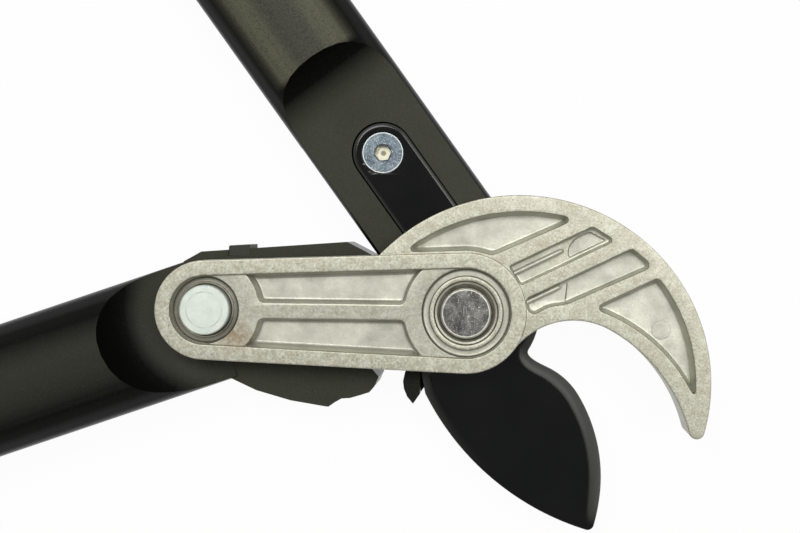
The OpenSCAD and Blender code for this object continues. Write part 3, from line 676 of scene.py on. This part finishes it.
def lower_slot(shells):
    loop = fine_loop(rounded_loop(polygon_runs(placed(LOWER_SLOT, LOWER_SLOT_AT)), SLOT_ROUND), 0.3)
    depths = [HOOK_POCKET if x > LOWER_DEEP_X else SLOT_DEPTH for x, y in loop]
    return shells.stepped_pocket(tilted(loop), HOOK_FRONT, depths)


def build_hook(shells):
    outer, wall = hook_loop(), outer_profile(ARM_BACK, HOOK_FRONT)
    rings = shells.loft([shells.ring(inset(outer, d), z, 0.0, crease) for d, z, crease in wall])
    shells.fill(rings[0])
    tops = [
        shells.pocket(tilted(rounded_loop(moon_runs(), MOON_ROUND)), HOOK_FRONT, HOOK_POCKET),
        shells.pocket(tilted(rounded_loop(beak_runs(), BEAK_ROUND)), HOOK_FRONT, HOOK_POCKET),
        upper_slot(shells), lower_slot(shells),
    ]
    shells.fill(rings[-1], tops)
    for at, length in RIDGES:
        shells.rib(turn(at, HOOK_TILT), length, BAR_TILT + HOOK_TILT, HOOK_FRONT - SLOT_DEPTH)
    for ring in shells.lathe(turn(MARK_C, HOOK_TILT), MARK_RING, 48):
        shells.fill(ring)


def build_pad(shells):
    """The part of the hook that reaches back to the blade's plane."""
    outer = [p for p in hook_edge() if p[0] > PAD_X and math.hypot(*p) > PAD_R]
    corner = math.degrees(math.acos(PAD_X / PAD_R))
    loop = outer + arc(MAIN_POS, PAD_R, corner, angle_of(outer[0]), 24)[:-1]
    rings = shells.loft(shells.profile_rings(loop, [
        (0.5, PAD_BACK, 0.0, 0.1), (0.15, PAD_BACK + 0.12, 0.0, 0.1), (0.0, PAD_BACK + 0.5, 0.0, 0.1),
        (0.0, ARM_BACK + 0.34, 0.0, 0.1), (0.1, ARM_BACK + 0.6, 0.0, 0.1),
    ]))
    shells.fill(rings[0])
    shells.fill(rings[-1])


def add_piece(shells, name, body, node):
    piece = bpy.data.objects.new(name, shells.mesh(name))
    bpy.context.scene.collection.objects.link(piece)
    weighted = piece.modifiers.new("weighted", "WEIGHTED_NORMAL")
    weighted.keep_sharp = True
    weighted.weight = 100
    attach(piece, body)
    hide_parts(node)
    return piece


def build_casting():
    shells = Shells()
    build_rim(shells)
    build_web(shells)
    build_hook(shells)
    build_pad(shells)
    return add_piece(shells, "casting_body", "casting", "hook_anvil")


def tang_point(u, v):
    return turn((u, v - TANG_OFF), BLADE_DIR)


def blade_runs():
    """Pieces of the blade's outline, clockwise, each with its share of the ground band.

    The cutting edge and the knee are the anvil and the throat, turned back by the closing angle.
    """
    edge_c, knee_c = (turn(centre, HOOK_TILT - CLOSING) for centre in (ANVIL_C, THROAT_C))
    edge_r, knee_r = ANVIL_R - EDGE_GAP, THROAT_R - EDGE_GAP
    nose_c = circles_meet(edge_c, edge_r - NOSE_R, BACK_C, BACK_R - NOSE_R, -1)
    knee_end = angle_of(sub(knee_c, edge_c))
    to_nose = angle_of(sub(nose_c, edge_c))
    from_back = angle_of(sub(nose_c, BACK_C))
    half = TANG_W / 2
    left_foot = tang_point(math.sqrt(HUB_R ** 2 - (half - TANG_OFF) ** 2), half)
    right_foot = tang_point(math.sqrt(HUB_R ** 2 - (half + TANG_OFF) ** 2), -half)
    leave, meet = polar(SHOULDER_R, SHOULDER_END), add(knee_c, polar(knee_r, KNEE_START))
    leave_pull = add(leave, polar(SHOULDER_PULL, SHOULDER_END - 90))
    meet_pull = sub(meet, polar(KNEE_PULL, KNEE_START - 90))
    lead, rise = polar(SHOULDER_R, SHOULDER_LEAD), polar(SHOULDER_R, SHOULDER_START)
    heel = line_circle(HEEL_LINE[1], HEEL_LINE[2], MAIN_POS, HUB_R, False)
    return [
        ([left_foot, tang_point(TANG_SCREW_U, half)], 0),
        (arc(tang_point(TANG_SCREW_U, 0), half, BLADE_DIR + 90, BLADE_DIR - 90, 40), 0),
        ([tang_point(TANG_SCREW_U, -half), right_foot], 0),
        (arc(MAIN_POS, HUB_R, angle_of(right_foot), 0, 12), 0),
        (bowed((HUB_R, 0), (HUB_R, -HUB_PULL), lead, rise, 8), 0),
        (arc(MAIN_POS, SHOULDER_R, SHOULDER_START, SHOULDER_END, 6), 0),
        (bowed(leave, leave_pull, meet_pull, meet), SHOULDER_SHARE),
        (arc(knee_c, knee_r, KNEE_START, knee_end, 16), 1),
        (arc(edge_c, edge_r, knee_end, to_nose, 60), 1),
        (arc(nose_c, NOSE_R, to_nose, from_back, 10), 0),
        (arc(BACK_C, BACK_R, from_back, HEEL_TURN - 360, 60), 0),
        ([HEEL_LINE[0], HEEL_LINE[1], heel], 0),
        (arc(MAIN_POS, HUB_R, angle_of(heel) % 360, angle_of(left_foot), 20), 0),
    ]


def blade_outline():
    """Points of the blade anticlockwise, and the share of the ground band at each, with soft ends."""
    points, shares = [], []
    for run, share in blade_runs():
        run = fine_run(run, 0.8)
        points += run[:-1]
        shares += [float(share)] * (len(run) - 1)
    count = len(shares)
    for _ in range(SHARE_PASSES):
        shares = [min(shares[i], (shares[i - 1] + shares[(i + 1) % count] + shares[i]) / 3)
                  for i in range(count)]
    return points[::-1], shares[::-1]


def blade_edge(k, ground, y):
    """Inset, drop, and lightening by abrasion and painted highlight of a point, at share k of the way from
    the face to the rim.
    """
    tang, back_lit = fraction(y, *TANG_FADE_Y), fraction(y, *BACK_HIGHLIGHT_FADE_Y)
    wide, drop = (b + (t - b) * tang for t, b in zip(TANG_SOFT, BACK_SOFT))
    rise = (BLADE_T - EDGE_T) / 2 - SOFT_EDGE
    wear_and_sheen = TANG_HIGHLIGHT * k ** 2 * tang + BACK_HIGHLIGHT * k * back_lit * (1 - tang)
    return (
        RIM_INSET + (1 - k) * (wide + (BEVEL_W - wide) * ground),
        drop * k ** 2 * (1 - ground) + rise * k ** 2.4 * ground,
        wear_and_sheen * (1 - ground) + min(1.0, GROUND_WEAR_AND_SHEEN * k ** 0.9) * ground,
    )


def build_blade():
    loop, shares = blade_outline()
    shells = Shells()
    rows = []
    for k in EDGE_STEPS:
        points = [blade_edge(k, ground, y) for ground, (x, y) in zip(shares, loop)]
        rows.append(tuple(list(values) for values in zip(*points)))
    drops, wears_and_sheen = rows[-1][1:]
    rows.append(([0.0] * len(loop), [z + SOFT_EDGE for z in drops], [RIM_WEAR_AND_SHEEN * w for w in wears_and_sheen]))
    rings = []
    for d, drops, wears_and_sheen in rows:
        rings.append(shells.ring(inset(loop, d), [BLADE_Z + z for z in drops], wears_and_sheen))
    for d, drops, wears_and_sheen in reversed(rows):
        rings.append(shells.ring(inset(loop, d), [BLADE_TOP - z for z in drops], wears_and_sheen))
    shells.loft(rings)
    bore = BUSH_R + BUSH_PLAY
    bore_low, bore_top = shells.lathe(MAIN_POS, [(bore, BLADE_Z, 0.0, 0.0), (bore, BLADE_TOP, 0.0, 0.0)])
    seat = SCREW_HEAD_R + HEAD_PLAY
    screw_low, screw_top = shells.lathe(tang_point(TANG_SCREW_U, 0), [
        (SCREW_HOLE_R, BLADE_Z, 0.0, 0.0), (SCREW_HOLE_R, BLADE_TOP - SEAT_DEPTH, 0.0, 0.0),
        (seat, BLADE_TOP - 0.15, 0.0, 0.0), (seat, BLADE_TOP - 0.1, 0.0, 0.0),
        (seat + 0.15, BLADE_TOP, 0.0, 0.0),
    ], 64)
    shells.fill(rings[0], [bore_low, screw_low])
    shells.fill(rings[-1], [bore_top, screw_top])
    return add_piece(shells, "blade_body", "blade_lever", "blade")


# Materials

class Shader:
    """One procedural material: a Principled BSDF and the nodes that feed it."""

    def __init__(self, name, **constants):
        self.material = bpy.data.materials.new(name)
        self.material.use_nodes = True
        self.tree = self.material.node_tree
        self.tree.nodes.clear()
        self.bsdf = self.node("ShaderNodeBsdfPrincipled")
        self.output = self.node("ShaderNodeOutputMaterial")
        self.put(self.output.inputs["Surface"], self.bsdf.outputs["BSDF"])
        self.place = self.node("ShaderNodeTexCoord").outputs["Object"]
        for socket, value in constants.items():
            self.bsdf.inputs[socket.replace("_", " ")].default_value = value

    def node(self, kind, **settings):
        made = self.tree.nodes.new(kind)
        for key, value in settings.items():
            setattr(made, key, value)
        return made

    def put(self, socket, value):
        if isinstance(value, bpy.types.NodeSocket):
            self.tree.links.new(value, socket)
        else:
            socket.default_value = value

    def feed(self, socket, value):
        self.put(self.bsdf.inputs[socket], value)

    def moved(self, scale=(1, 1, 1), turn_z=0.0, shift=(0, 0, 0)):
        made = self.node("ShaderNodeMapping")
        self.put(made.inputs["Vector"], self.place)
        made.inputs["Scale"].default_value = scale
        made.inputs["Rotation"].default_value = (0, 0, math.radians(turn_z))
        made.inputs["Location"].default_value = shift
        return made.outputs["Vector"]

    def noise(self, size_mm, detail=3.0, roughness=0.55, place=None):
        made = self.node("ShaderNodeTexNoise")
        self.put(made.inputs["Vector"], place or self.place)
        made.inputs["Scale"].default_value = 1 / (size_mm * MM)
        made.inputs["Detail"].default_value = detail
        made.inputs["Roughness"].default_value = roughness
        return made.outputs["Fac"]

    def ramp(self, value, low, high, to_low=0.0, to_high=1.0):
        made = self.node("ShaderNodeMapRange", clamp=True)
        self.put(made.inputs["Value"], value)
        made.inputs["From Min"].default_value = low
        made.inputs["From Max"].default_value = high
        made.inputs["To Min"].default_value = to_low
        made.inputs["To Max"].default_value = to_high
        return made.outputs["Result"]

    def math(self, operation, a, b=0.0):
        made = self.node("ShaderNodeMath", operation=operation)
        self.put(made.inputs[0], a)
        self.put(made.inputs[1], b)
        return made.outputs[0]

    def mix(self, share, a, b):
        made = self.node("ShaderNodeMix", data_type="RGBA")
        self.put(made.inputs["Factor"], share)
        self.put(made.inputs[6], a)
        self.put(made.inputs[7], b)
        return made.outputs[2]

    def value_of(self, attribute):
        return self.node("ShaderNodeAttribute", attribute_name=attribute).outputs["Fac"]

    def from_axis(self, centre):
        """Distance from an upright axis, in millimetres."""
        made = self.node("ShaderNodeVectorMath", operation="MULTIPLY_ADD")
        self.put(made.inputs[0], self.place)
        made.inputs[1].default_value = (1 / MM, 1 / MM, 0)
        made.inputs[2].default_value = (-centre[0], -centre[1], 0)
        length = self.node("ShaderNodeVectorMath", operation="LENGTH")
        self.put(length.inputs[0], made.outputs["Vector"])
        return length.outputs["Value"]

    def coordinate(self, axis):
        """A coordinate of the object at rest, in millimetres."""
        made = self.node("ShaderNodeSeparateXYZ")
        self.put(made.inputs[0], self.place)
        return self.math("MULTIPLY", made.outputs[axis], 1 / MM)

    def along(self, angle):
        """Distance from the main pivot along a direction, in millimetres."""
        x, y = polar(1.0, angle)
        return self.math("ADD", self.math("MULTIPLY", self.coordinate("X"), x),
                         self.math("MULTIPLY", self.coordinate("Y"), y))

    def upward(self):
        """How much a surface faces up or down, from 0 to 1."""
        made = self.node("ShaderNodeSeparateXYZ")
        self.put(made.inputs[0], self.node("ShaderNodeNewGeometry").outputs["Normal"])
        return self.math("ABSOLUTE", made.outputs["Z"])

    def bump(self, height, depth_mm, strength=1.0, over=None):
        made = self.node("ShaderNodeBump")
        made.inputs["Strength"].default_value = strength
        made.inputs["Distance"].default_value = depth_mm * MM
        self.put(made.inputs["Height"], height)
        if over is not None:
            self.put(made.inputs["Normal"], over)
        return made.outputs["Normal"]


def rgb(r, g, b):
    """A colour given as 0 to 255 values, in linear light."""
    def linear(v):
        v /= 255
        return v / 12.92 if v <= 0.04045 else ((v + 0.055) / 1.055) ** 2.4
    return (linear(r), linear(g), linear(b), 1.0)


def casting_material():
    s = Shader("cast_alloy", Metallic=0.45)
    floor, crease = s.value_of("floor"), s.value_of("crease")
    cloud = s.noise(7.0, 4.0, 0.6)
    patch = s.noise(2.3, 4.0, 0.65, s.moved(shift=(0.3, 0.1, 0.2)))
    grain = s.noise(0.55, 3.0, 0.6)
    specks = s.noise(0.7, 2.0, 0.5, s.moved(shift=(0.7, 0.4, 0.1)))
    rim = s.mix(s.ramp(grain, 0.3, 0.7), rgb(164, 162, 145), rgb(217, 216, 199))
    rim = s.mix(s.ramp(patch, 0.48, 0.68, 0, 0.6), rim, rgb(170, 163, 142))
    rim = s.mix(s.ramp(patch, 0.46, 0.28, 0, 0.55), rim, rgb(226, 225, 211))
    rim = s.mix(s.ramp(specks, 0.66, 0.74, 0, 0.6), rim, rgb(112, 104, 86))
    flat = s.mix(s.ramp(cloud, 0.3, 0.68), rgb(172, 173, 161), rgb(221, 220, 206))
    flat = s.mix(s.ramp(grain, 0.45, 0.75, 0, 0.4), flat, rgb(172, 170, 156))
    base = s.mix(floor, rim, flat)
    stain = s.math("MULTIPLY", s.ramp(s.from_axis(STAIN_C), 5.5, 1.5), s.ramp(patch, 0.4, 0.6, 0.2, 0.7))
    base = s.mix(stain, base, rgb(140, 112, 76))
    # Painted shade, partly grime: creases, grooves and edge lines are darkened by the crease value
    crease_shade_and_dirt = s.math("MULTIPLY", crease, s.ramp(cloud, 0.25, 0.65, 0.65, 1.0))
    s.feed("Base Color", s.mix(crease_shade_and_dirt, base, rgb(62, 58, 46)))
    s.feed("Roughness", s.ramp(grain, 0.3, 0.7, 0.36, 0.5))
    height = s.math("ADD", s.math("MULTIPLY", grain, 0.6), s.math("MULTIPLY", patch, 0.8))
    s.feed("Normal", s.bump(height, 0.06, 0.6))
    return s.material


def main_pin_material():
    s = Shader("ground_steel", Metallic=0.9)
    cloud = s.noise(2.4, 4.0, 0.65)
    scratches = 0.0
    for turn_z, shift in ((48, 0.11), (-37, 0.37), (8, 0.59), (77, 0.83)):
        hair = s.noise(0.34, 2.0, 0.5, s.moved(scale=(1, 0.09, 1), turn_z=turn_z, shift=(shift, shift, 0)))
        scratches = s.math("MAXIMUM", scratches, s.ramp(hair, 0.68, 0.76))
    specks = s.noise(0.3, 2.0, 0.5)
    base = s.mix(s.ramp(cloud, 0.3, 0.7), rgb(90, 88, 88), rgb(140, 139, 134))
    base = s.mix(s.math("MULTIPLY", scratches, 0.6), base, rgb(216, 216, 208))
    base = s.mix(s.ramp(specks, 0.63, 0.73, 0, 0.85), base, rgb(240, 240, 232))
    away = s.from_axis(MAIN_POS)
    # Painted highlight: a bright ring on the pin's chamfered edge
    base = s.mix(s.ramp(away, MAIN_DISC_R - 0.7, MAIN_DISC_R - 0.6), base, rgb(236, 236, 226))
    s.feed("Base Color", base)
    s.feed("Roughness", s.ramp(cloud, 0.3, 0.7, 0.28, 0.42))
    s.feed("Normal", s.bump(s.math("ADD", scratches, cloud), 0.015, 0.5))
    return s.material


def gear_pin_material():
    s = Shader("zinc_plate", Metallic=0.5)
    cloud = s.noise(2.5, 3.0, 0.55)
    grain = s.noise(0.3, 3.0, 0.6)
    base = s.mix(s.ramp(cloud, 0.3, 0.7), rgb(218, 228, 217), rgb(234, 241, 232))
    ring = s.math("ABSOLUTE", s.math("SUBTRACT", s.from_axis(GEAR_POS), GEAR_RING_R))
    ring = s.math("MULTIPLY", s.ramp(ring, 0.0, 0.25, 0.7, 0.0), s.ramp(cloud, 0.4, 0.6))
    base = s.mix(ring, base, rgb(150, 156, 146))
    base = s.mix(s.ramp(grain, 0.6, 0.75, 0, 0.35), base, rgb(176, 184, 174))
    s.feed("Base Color", base)
    s.feed("Roughness", s.ramp(grain, 0.3, 0.7, 0.32, 0.5))
    s.feed("Normal", s.bump(grain, 0.02, 0.4))
    return s.material


def metal_material(name, dark, light, size_mm, rough):
    s = Shader(name, Metallic=1.0)
    grain = s.noise(size_mm, 4.0, 0.6)
    s.feed("Base Color", s.mix(s.ramp(grain, 0.3, 0.7), dark, light))
    s.feed("Roughness", s.ramp(grain, 0.3, 0.7, rough, rough + 0.16))
    s.feed("Normal", s.bump(grain, 0.02, 0.4))
    return s.material


def screw_material():
    s = Shader("bright_zinc", Metallic=0.6)
    away, height = s.from_axis(tang_point(TANG_SCREW_U, 0)), s.coordinate("Z")
    cloud = s.noise(1.6, 3.0, 0.55)
    specks = s.noise(0.4, 2.0, 0.55)
    base = s.mix(s.ramp(cloud, 0.35, 0.65), rgb(82, 94, 108), rgb(118, 130, 138))
    base = s.mix(s.ramp(specks, 0.56, 0.7, 0, 0.6), base, rgb(206, 216, 216))
    base = s.mix(s.ramp(specks, 0.42, 0.3, 0, 0.5), base, rgb(98, 106, 116))
    # Painted highlight on a ring at the head's edge, and painted shade on the head below its top face
    base = s.mix(s.ramp(away, SCREW_HEAD_R - 0.32, SCREW_HEAD_R - 0.22), base, rgb(205, 214, 212))
    base = s.mix(s.ramp(height, SCREW_TOP - 0.1, SCREW_TOP - 0.3), base, rgb(112, 114, 108))
    socket = s.mix(s.ramp(away, 0.5, 1.0), rgb(128, 124, 106), rgb(214, 212, 192))
    s.feed("Base Color", s.mix(s.ramp(height, SCREW_TOP - 1.0, SCREW_TOP - 1.6), base, socket))
    s.feed("Roughness", s.ramp(cloud, 0.3, 0.7, 0.26, 0.38))
    s.feed("Normal", s.bump(specks, 0.02, 0.4))
    return s.material


def blade_material():
    s = Shader("blade_coat", Specular_IOR_Level=0.4)
    # The blade keeps its abrasion and painted highlights in the floor value
    worn_and_lit = s.value_of("floor")
    tone = s.noise(14.0, 3.0, 0.5)
    dust = s.noise(0.3, 2.0, 0.5)
    streak = s.noise(0.9, 3.0, 0.6, s.moved(scale=(0.05, 1, 1), turn_z=-38))
    base = s.mix(s.ramp(tone, 0.3, 0.7), rgb(5, 6, 6), rgb(9, 10, 10))
    base = s.mix(s.ramp(streak, 0.68, 0.8, 0, 0.2), base, rgb(44, 45, 44))
    base = s.mix(s.ramp(dust, 0.76, 0.82, 0, 0.5), base, rgb(96, 96, 92))
    s.feed("Base Color", s.mix(s.math("MULTIPLY", worn_and_lit, 0.9), base, rgb(78, 79, 76)))
    s.feed("Roughness", s.math("ADD", s.ramp(tone, 0.3, 0.7, 0.1, 0.15), s.ramp(worn_and_lit, 0, 0.35, 0, 0.3)))
    s.feed("Normal", s.bump(dust, 0.004, 0.3))
    return s.material


def plastic_material():
    """Dull black, with light and shade painted by how much a surface faces up: painted sheen on what faces
    up, most of all on the blade handle's tube, and painted shade on what turns aside.

    The blade handle's share rises from 0 at the main pivot to 1 along the blade handle, and is 0 on the
    gear handle; it gives the blade handle's tube its brighter painted sheen.
    tube is 1 on the front of the handles' round tubes.
    """
    s = Shader("grained_plastic", Specular_IOR_Level=0.07)
    grain = s.noise(0.4, 2.0, 0.55)
    pores = s.noise(0.7, 3.0, 0.6)
    cloud = s.noise(30.0, 3.0, 0.55)
    upward = s.upward()
    blade_handle_share = s.ramp(s.coordinate("Y"), *BLADE_HANDLE_Y)
    past = s.ramp(s.along(BLADE_DIR), *BLADE_TUBE_START)
    past = s.math("MAXIMUM", past, s.math("SUBTRACT", 1.0, blade_handle_share))
    tube = s.math("MULTIPLY", s.ramp(s.coordinate("Z"), *TUBE_Z), past)
    # Painted light: the colour of the head's faces that turn up
    light = s.mix(s.ramp(cloud, 0.3, 0.7), rgb(57, 58, 50), rgb(65, 66, 57))
    # Painted shade round the heel
    light = s.mix(s.ramp(s.from_axis(HEEL_SHADE_C), 8, 5, 0, 0.8), light, rgb(18, 18, 17))
    # Painted highlight: two brighter bands beside the crest of the blade handle's tube; the gear handle's
    # tube gets a dimmer painted crest and painted shade on its sides
    bands = s.mix(s.ramp(upward, 0.93, 0.99), rgb(96, 96, 82), rgb(72, 72, 63))
    bands = s.mix(blade_handle_share, s.mix(s.ramp(upward, 0.8, 0.99), rgb(14, 15, 14), rgb(50, 51, 44)), bands)
    # Painted shade on the head's faces that turn aside
    head = s.mix(s.ramp(upward, 0.8, 1.0), rgb(10, 10, 9), light)
    # Painted shade on the tubes' sides
    base = s.mix(tube, head, s.mix(s.ramp(upward, 0.6, 0.88), rgb(12, 12, 11), bands))
    rough = s.ramp(s.math("MULTIPLY", tube, blade_handle_share), 0, 1, 0.3, 1.0)
    base = s.mix(s.math("MULTIPLY", s.ramp(grain, 0.5, 0.28, 0, 0.5), rough), base, rgb(12, 12, 11))
    # Light specks of the grain, which show mostly where faces turn up: real grain with painted glints
    specks = s.math("MULTIPLY", s.ramp(grain, 0.56, 0.78, 0, 0.5), rough)
    specks = s.math("MULTIPLY", specks, s.ramp(upward, 0.6, 1.0, 0.1, 0.8))
    s.feed("Base Color", s.mix(specks, base, rgb(112, 111, 98)))
    dull = s.ramp(upward, 0.2, 0.8, 0.2, 0.44)
    s.feed("Roughness", s.math("ADD", dull, s.ramp(pores, 0.3, 0.7, 0.0, 0.1)))
    s.feed("Normal", s.bump(s.math("ADD", grain, s.math("MULTIPLY", pores, 0.5)), 0.02, 0.4))
    return s.material


def rubber_material(name, dark, light, size_mm, dimple_mm=0.0):
    """Dull rubber; with dimples it has a moulded pattern of round pits."""
    s = Shader(name, Specular_IOR_Level=0.3)
    grain = s.noise(size_mm, 3.0, 0.6)
    cloud = s.noise(24.0, 3.0, 0.5)
    base = s.mix(s.ramp(cloud, 0.3, 0.7), dark, light)
    base = s.mix(s.ramp(grain, 0.6, 0.75, 0, 0.4), base, rgb(70, 70, 68))
    normal = s.bump(grain, 0.12, 0.6)
    if dimple_mm:
        cells = s.node("ShaderNodeTexVoronoi")
        cells.inputs["Scale"].default_value = 1 / (dimple_mm * MM)
        cells.inputs["Randomness"].default_value = 0.25
        s.put(cells.inputs["Vector"], s.place)
        pit = s.ramp(cells.outputs["Distance"], 0.22, 0.42)
        # Painted shade: the pits are darkened
        base = s.mix(s.ramp(pit, 0, 1, 0.55, 0), base, rgb(10, 10, 10))
        normal = s.bump(pit, 0.5, 0.8, normal)
    s.feed("Base Color", base)
    s.feed("Roughness", s.ramp(grain, 0.3, 0.7, 0.62, 0.82))
    s.feed("Normal", normal)
    return s.material


def stop_material():
    """Dark where it faces up, like the plate it sits in, and lighter on its walls."""
    s = Shader("stop_rubber", Specular_IOR_Level=0.3)
    grain = s.noise(0.5, 3.0, 0.6)
    wall = s.mix(s.ramp(grain, 0.3, 0.7), rgb(118, 118, 116), rgb(150, 150, 147))
    top = s.mix(s.ramp(grain, 0.3, 0.7), rgb(46, 47, 41), rgb(60, 61, 54))
    s.feed("Base Color", s.mix(s.ramp(s.upward(), 0.5, 0.9), wall, top))
    s.feed("Roughness", s.ramp(grain, 0.3, 0.7, 0.5, 0.7))
    s.feed("Normal", s.bump(grain, 0.05, 0.5))
    return s.material


# Softened edges on the CAD nodes

def soften_group():
    """Joins the faces of a node and shades it smooth, with sharp edges where it bends much."""
    group = bpy.data.node_groups.new("soften", "GeometryNodeTree")
    group.interface.new_socket("Geometry", in_out="INPUT", socket_type="NodeSocketGeometry")
    group.interface.new_socket("Geometry", in_out="OUTPUT", socket_type="NodeSocketGeometry")
    new = group.nodes.new
    enter = new("NodeGroupInput")
    leave = new("NodeGroupOutput")
    bare = new("GeometryNodeRemoveAttribute")
    bare.inputs["Name"].default_value = "custom_normal"
    merge = new("GeometryNodeMergeByDistance")
    merge.inputs["Distance"].default_value = MERGE_MM * MM
    smooth = new("GeometryNodeSetShadeSmooth")
    sharp = new("GeometryNodeSetShadeSmooth")
    sharp.domain = "EDGE"
    sharp.inputs["Shade Smooth"].default_value = False
    bend = new("GeometryNodeInputMeshEdgeAngle")
    over = new("FunctionNodeCompare")
    over.data_type = "FLOAT"
    over.operation = "GREATER_THAN"
    over.inputs[1].default_value = math.radians(SMOOTH_BELOW)
    chain = [enter, bare, merge, smooth, sharp, leave]
    for node, after in zip(chain, chain[1:]):
        group.links.new(node.outputs[0], after.inputs[0])
    group.links.new(bend.outputs["Unsigned Angle"], over.inputs[0])
    group.links.new(over.outputs["Result"], sharp.inputs["Selection"])
    return group


def dress(nodes, material, group, bevel_mm=0.0, round_body=False):
    """Gives CAD nodes their material and soft edges; all but round bodies get evened shading."""
    for name in nodes:
        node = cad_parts[name]
        node.data.materials.clear()
        node.data.materials.append(material)
        soften = node.modifiers.new("soften", "NODES")
        soften.node_group = group
        if bevel_mm:
            bevel = node.modifiers.new("bevel", "BEVEL")
            bevel.width = bevel_mm * MM
            bevel.segments = 3
            bevel.limit_method = "ANGLE"
            bevel.angle_limit = math.radians(BEVEL_ABOVE)
            bevel.use_clamp_overlap = True
            bevel.harden_normals = round_body
        if round_body:
            continue
        weighted = node.modifiers.new("weighted", "WEIGHTED_NORMAL")
        weighted.keep_sharp = True
        weighted.weight = 50


# Floor, light and camera

def floor_material():
    """White where it is seen, with the object's shadow kept."""
    s = Shader("floor_white")
    s.tree.nodes.remove(s.bsdf)
    rays = s.node("ShaderNodeLightPath").outputs
    seen = s.math("MAXIMUM", rays["Is Camera Ray"], rays["Is Glossy Ray"])
    seen = s.math("MAXIMUM", seen, rays["Is Transmission Ray"])
    diffuse = s.node("ShaderNodeBsdfDiffuse")
    diffuse.inputs["Color"].default_value = (0.86, 0.86, 0.87, 1)
    glow = s.node("ShaderNodeEmission")
    glow.inputs["Color"].default_value = (1, 1, 1, 1)
    glow.inputs["Strength"].default_value = 1.0
    blend = s.node("ShaderNodeMixShader")
    s.put(blend.inputs[0], s.math("MULTIPLY", seen, FLOOR_GLOW))
    s.put(blend.inputs[1], diffuse.outputs[0])
    s.put(blend.inputs[2], glow.outputs[0])
    s.put(s.output.inputs["Surface"], blend.outputs[0])
    return s.material


def add_floor():
    mesh = bpy.data.meshes.new("floor")
    corners = [(x * FLOOR_HALF, y * FLOOR_HALF, 0) for x, y in ((-1, -1), (1, -1), (1, 1), (-1, 1))]
    mesh.from_pydata(corners, [], [(0, 1, 2, 3)])
    mesh.materials.append(floor_material())
    floor = bpy.data.objects.new("floor", mesh)
    bpy.context.scene.collection.objects.link(floor)


def add_lamp(name, place, watts, colour):
    lamp = bpy.data.lights.new(name, "AREA")
    lamp.shape = "RECTANGLE"
    lamp.size = LAMP_SIDE
    lamp.size_y = LAMP_SIDE
    lamp.energy = watts
    lamp.color = colour
    holder = bpy.data.objects.new(name, lamp)
    holder.location = place
    holder.rotation_mode = "QUATERNION"
    holder.rotation_quaternion = (Vector(LIT_POINT) - Vector(place)).to_track_quat("-Z", "Y")
    bpy.context.scene.collection.objects.link(holder)


def add_light():
    world = bpy.data.worlds.new("studio")
    bpy.context.scene.world = world
    world.use_nodes = True
    back = world.node_tree.nodes["Background"]
    back.inputs["Color"].default_value = (1, 1, 1, 1)
    back.inputs["Strength"].default_value = WORLD_STRENGTH
    add_lamp("key", KEY_AT, KEY_WATTS, (1.0, 0.99, 0.965))
    add_lamp("fill", FILL_AT, FILL_WATTS, (1.0, 0.995, 0.97))


def add_camera():
    """Looks straight down; the photo's optical axis lies right of and above its middle."""
    data = bpy.data.cameras.new("camera")
    data.lens = 52.8
    data.sensor_width = 36.0
    data.shift_x = -0.125
    data.shift_y = -0.0394
    data.clip_start = 0.01
    data.clip_end = 50.0
    camera = bpy.data.objects.new("camera", data)
    camera.location = [v * MM for v in CAMERA_AT]
    camera.rotation_euler = (0, 0, math.radians(HOOK_TILT))
    bpy.context.scene.collection.objects.link(camera)
    bpy.context.scene.camera = camera


def dress_nodes():
    group = soften_group()
    plastic = plastic_material()
    washer = metal_material("washer_steel", rgb(150, 152, 152), rgb(196, 198, 198), 0.5, 0.3)
    bush = metal_material("bush_steel", rgb(120, 118, 112), rgb(160, 158, 150), 0.5, 0.34)
    zinc = screw_material()
    grip = rubber_material("grip_rubber", rgb(26, 26, 26), rgb(38, 38, 37), 0.9, 4.5)
    cap = rubber_material("cap_plastic", rgb(26, 26, 25), rgb(36, 36, 34), 0.4)
    dress(["blade_handle", "gear_handle"], plastic, group, 0.35, True)
    dress(["main_pivot_pin"], main_pin_material(), group, 0.12)
    dress(["gear_pivot_pin"], gear_pin_material(), group, 0.12)
    dress(["main_thrust_washer", "gear_thrust_washer"], washer, group, 0.08)
    dress(["main_rear_washer", "gear_rear_washer"], washer, group, 0.08)
    dress(["main_pivot_bush", "gear_pivot_bush"], bush, group, 0.1)
    dress(["tang_screw", "tang_nut"], zinc, group, 0.1)
    dress(["blade_handle_grip", "gear_handle_grip"], grip, group)
    dress(["blade_handle_end_cap", "gear_handle_end_cap"], cap, group, 0.8)
    dress(["closing_stop_pad"], stop_material(), group, 0.3)


dress_nodes()
build_casting().data.materials.append(casting_material())
build_blade().data.materials.append(blade_material())
add_floor()
add_light()
add_camera()
bpy.context.scene.view_settings.view_transform = "Standard"
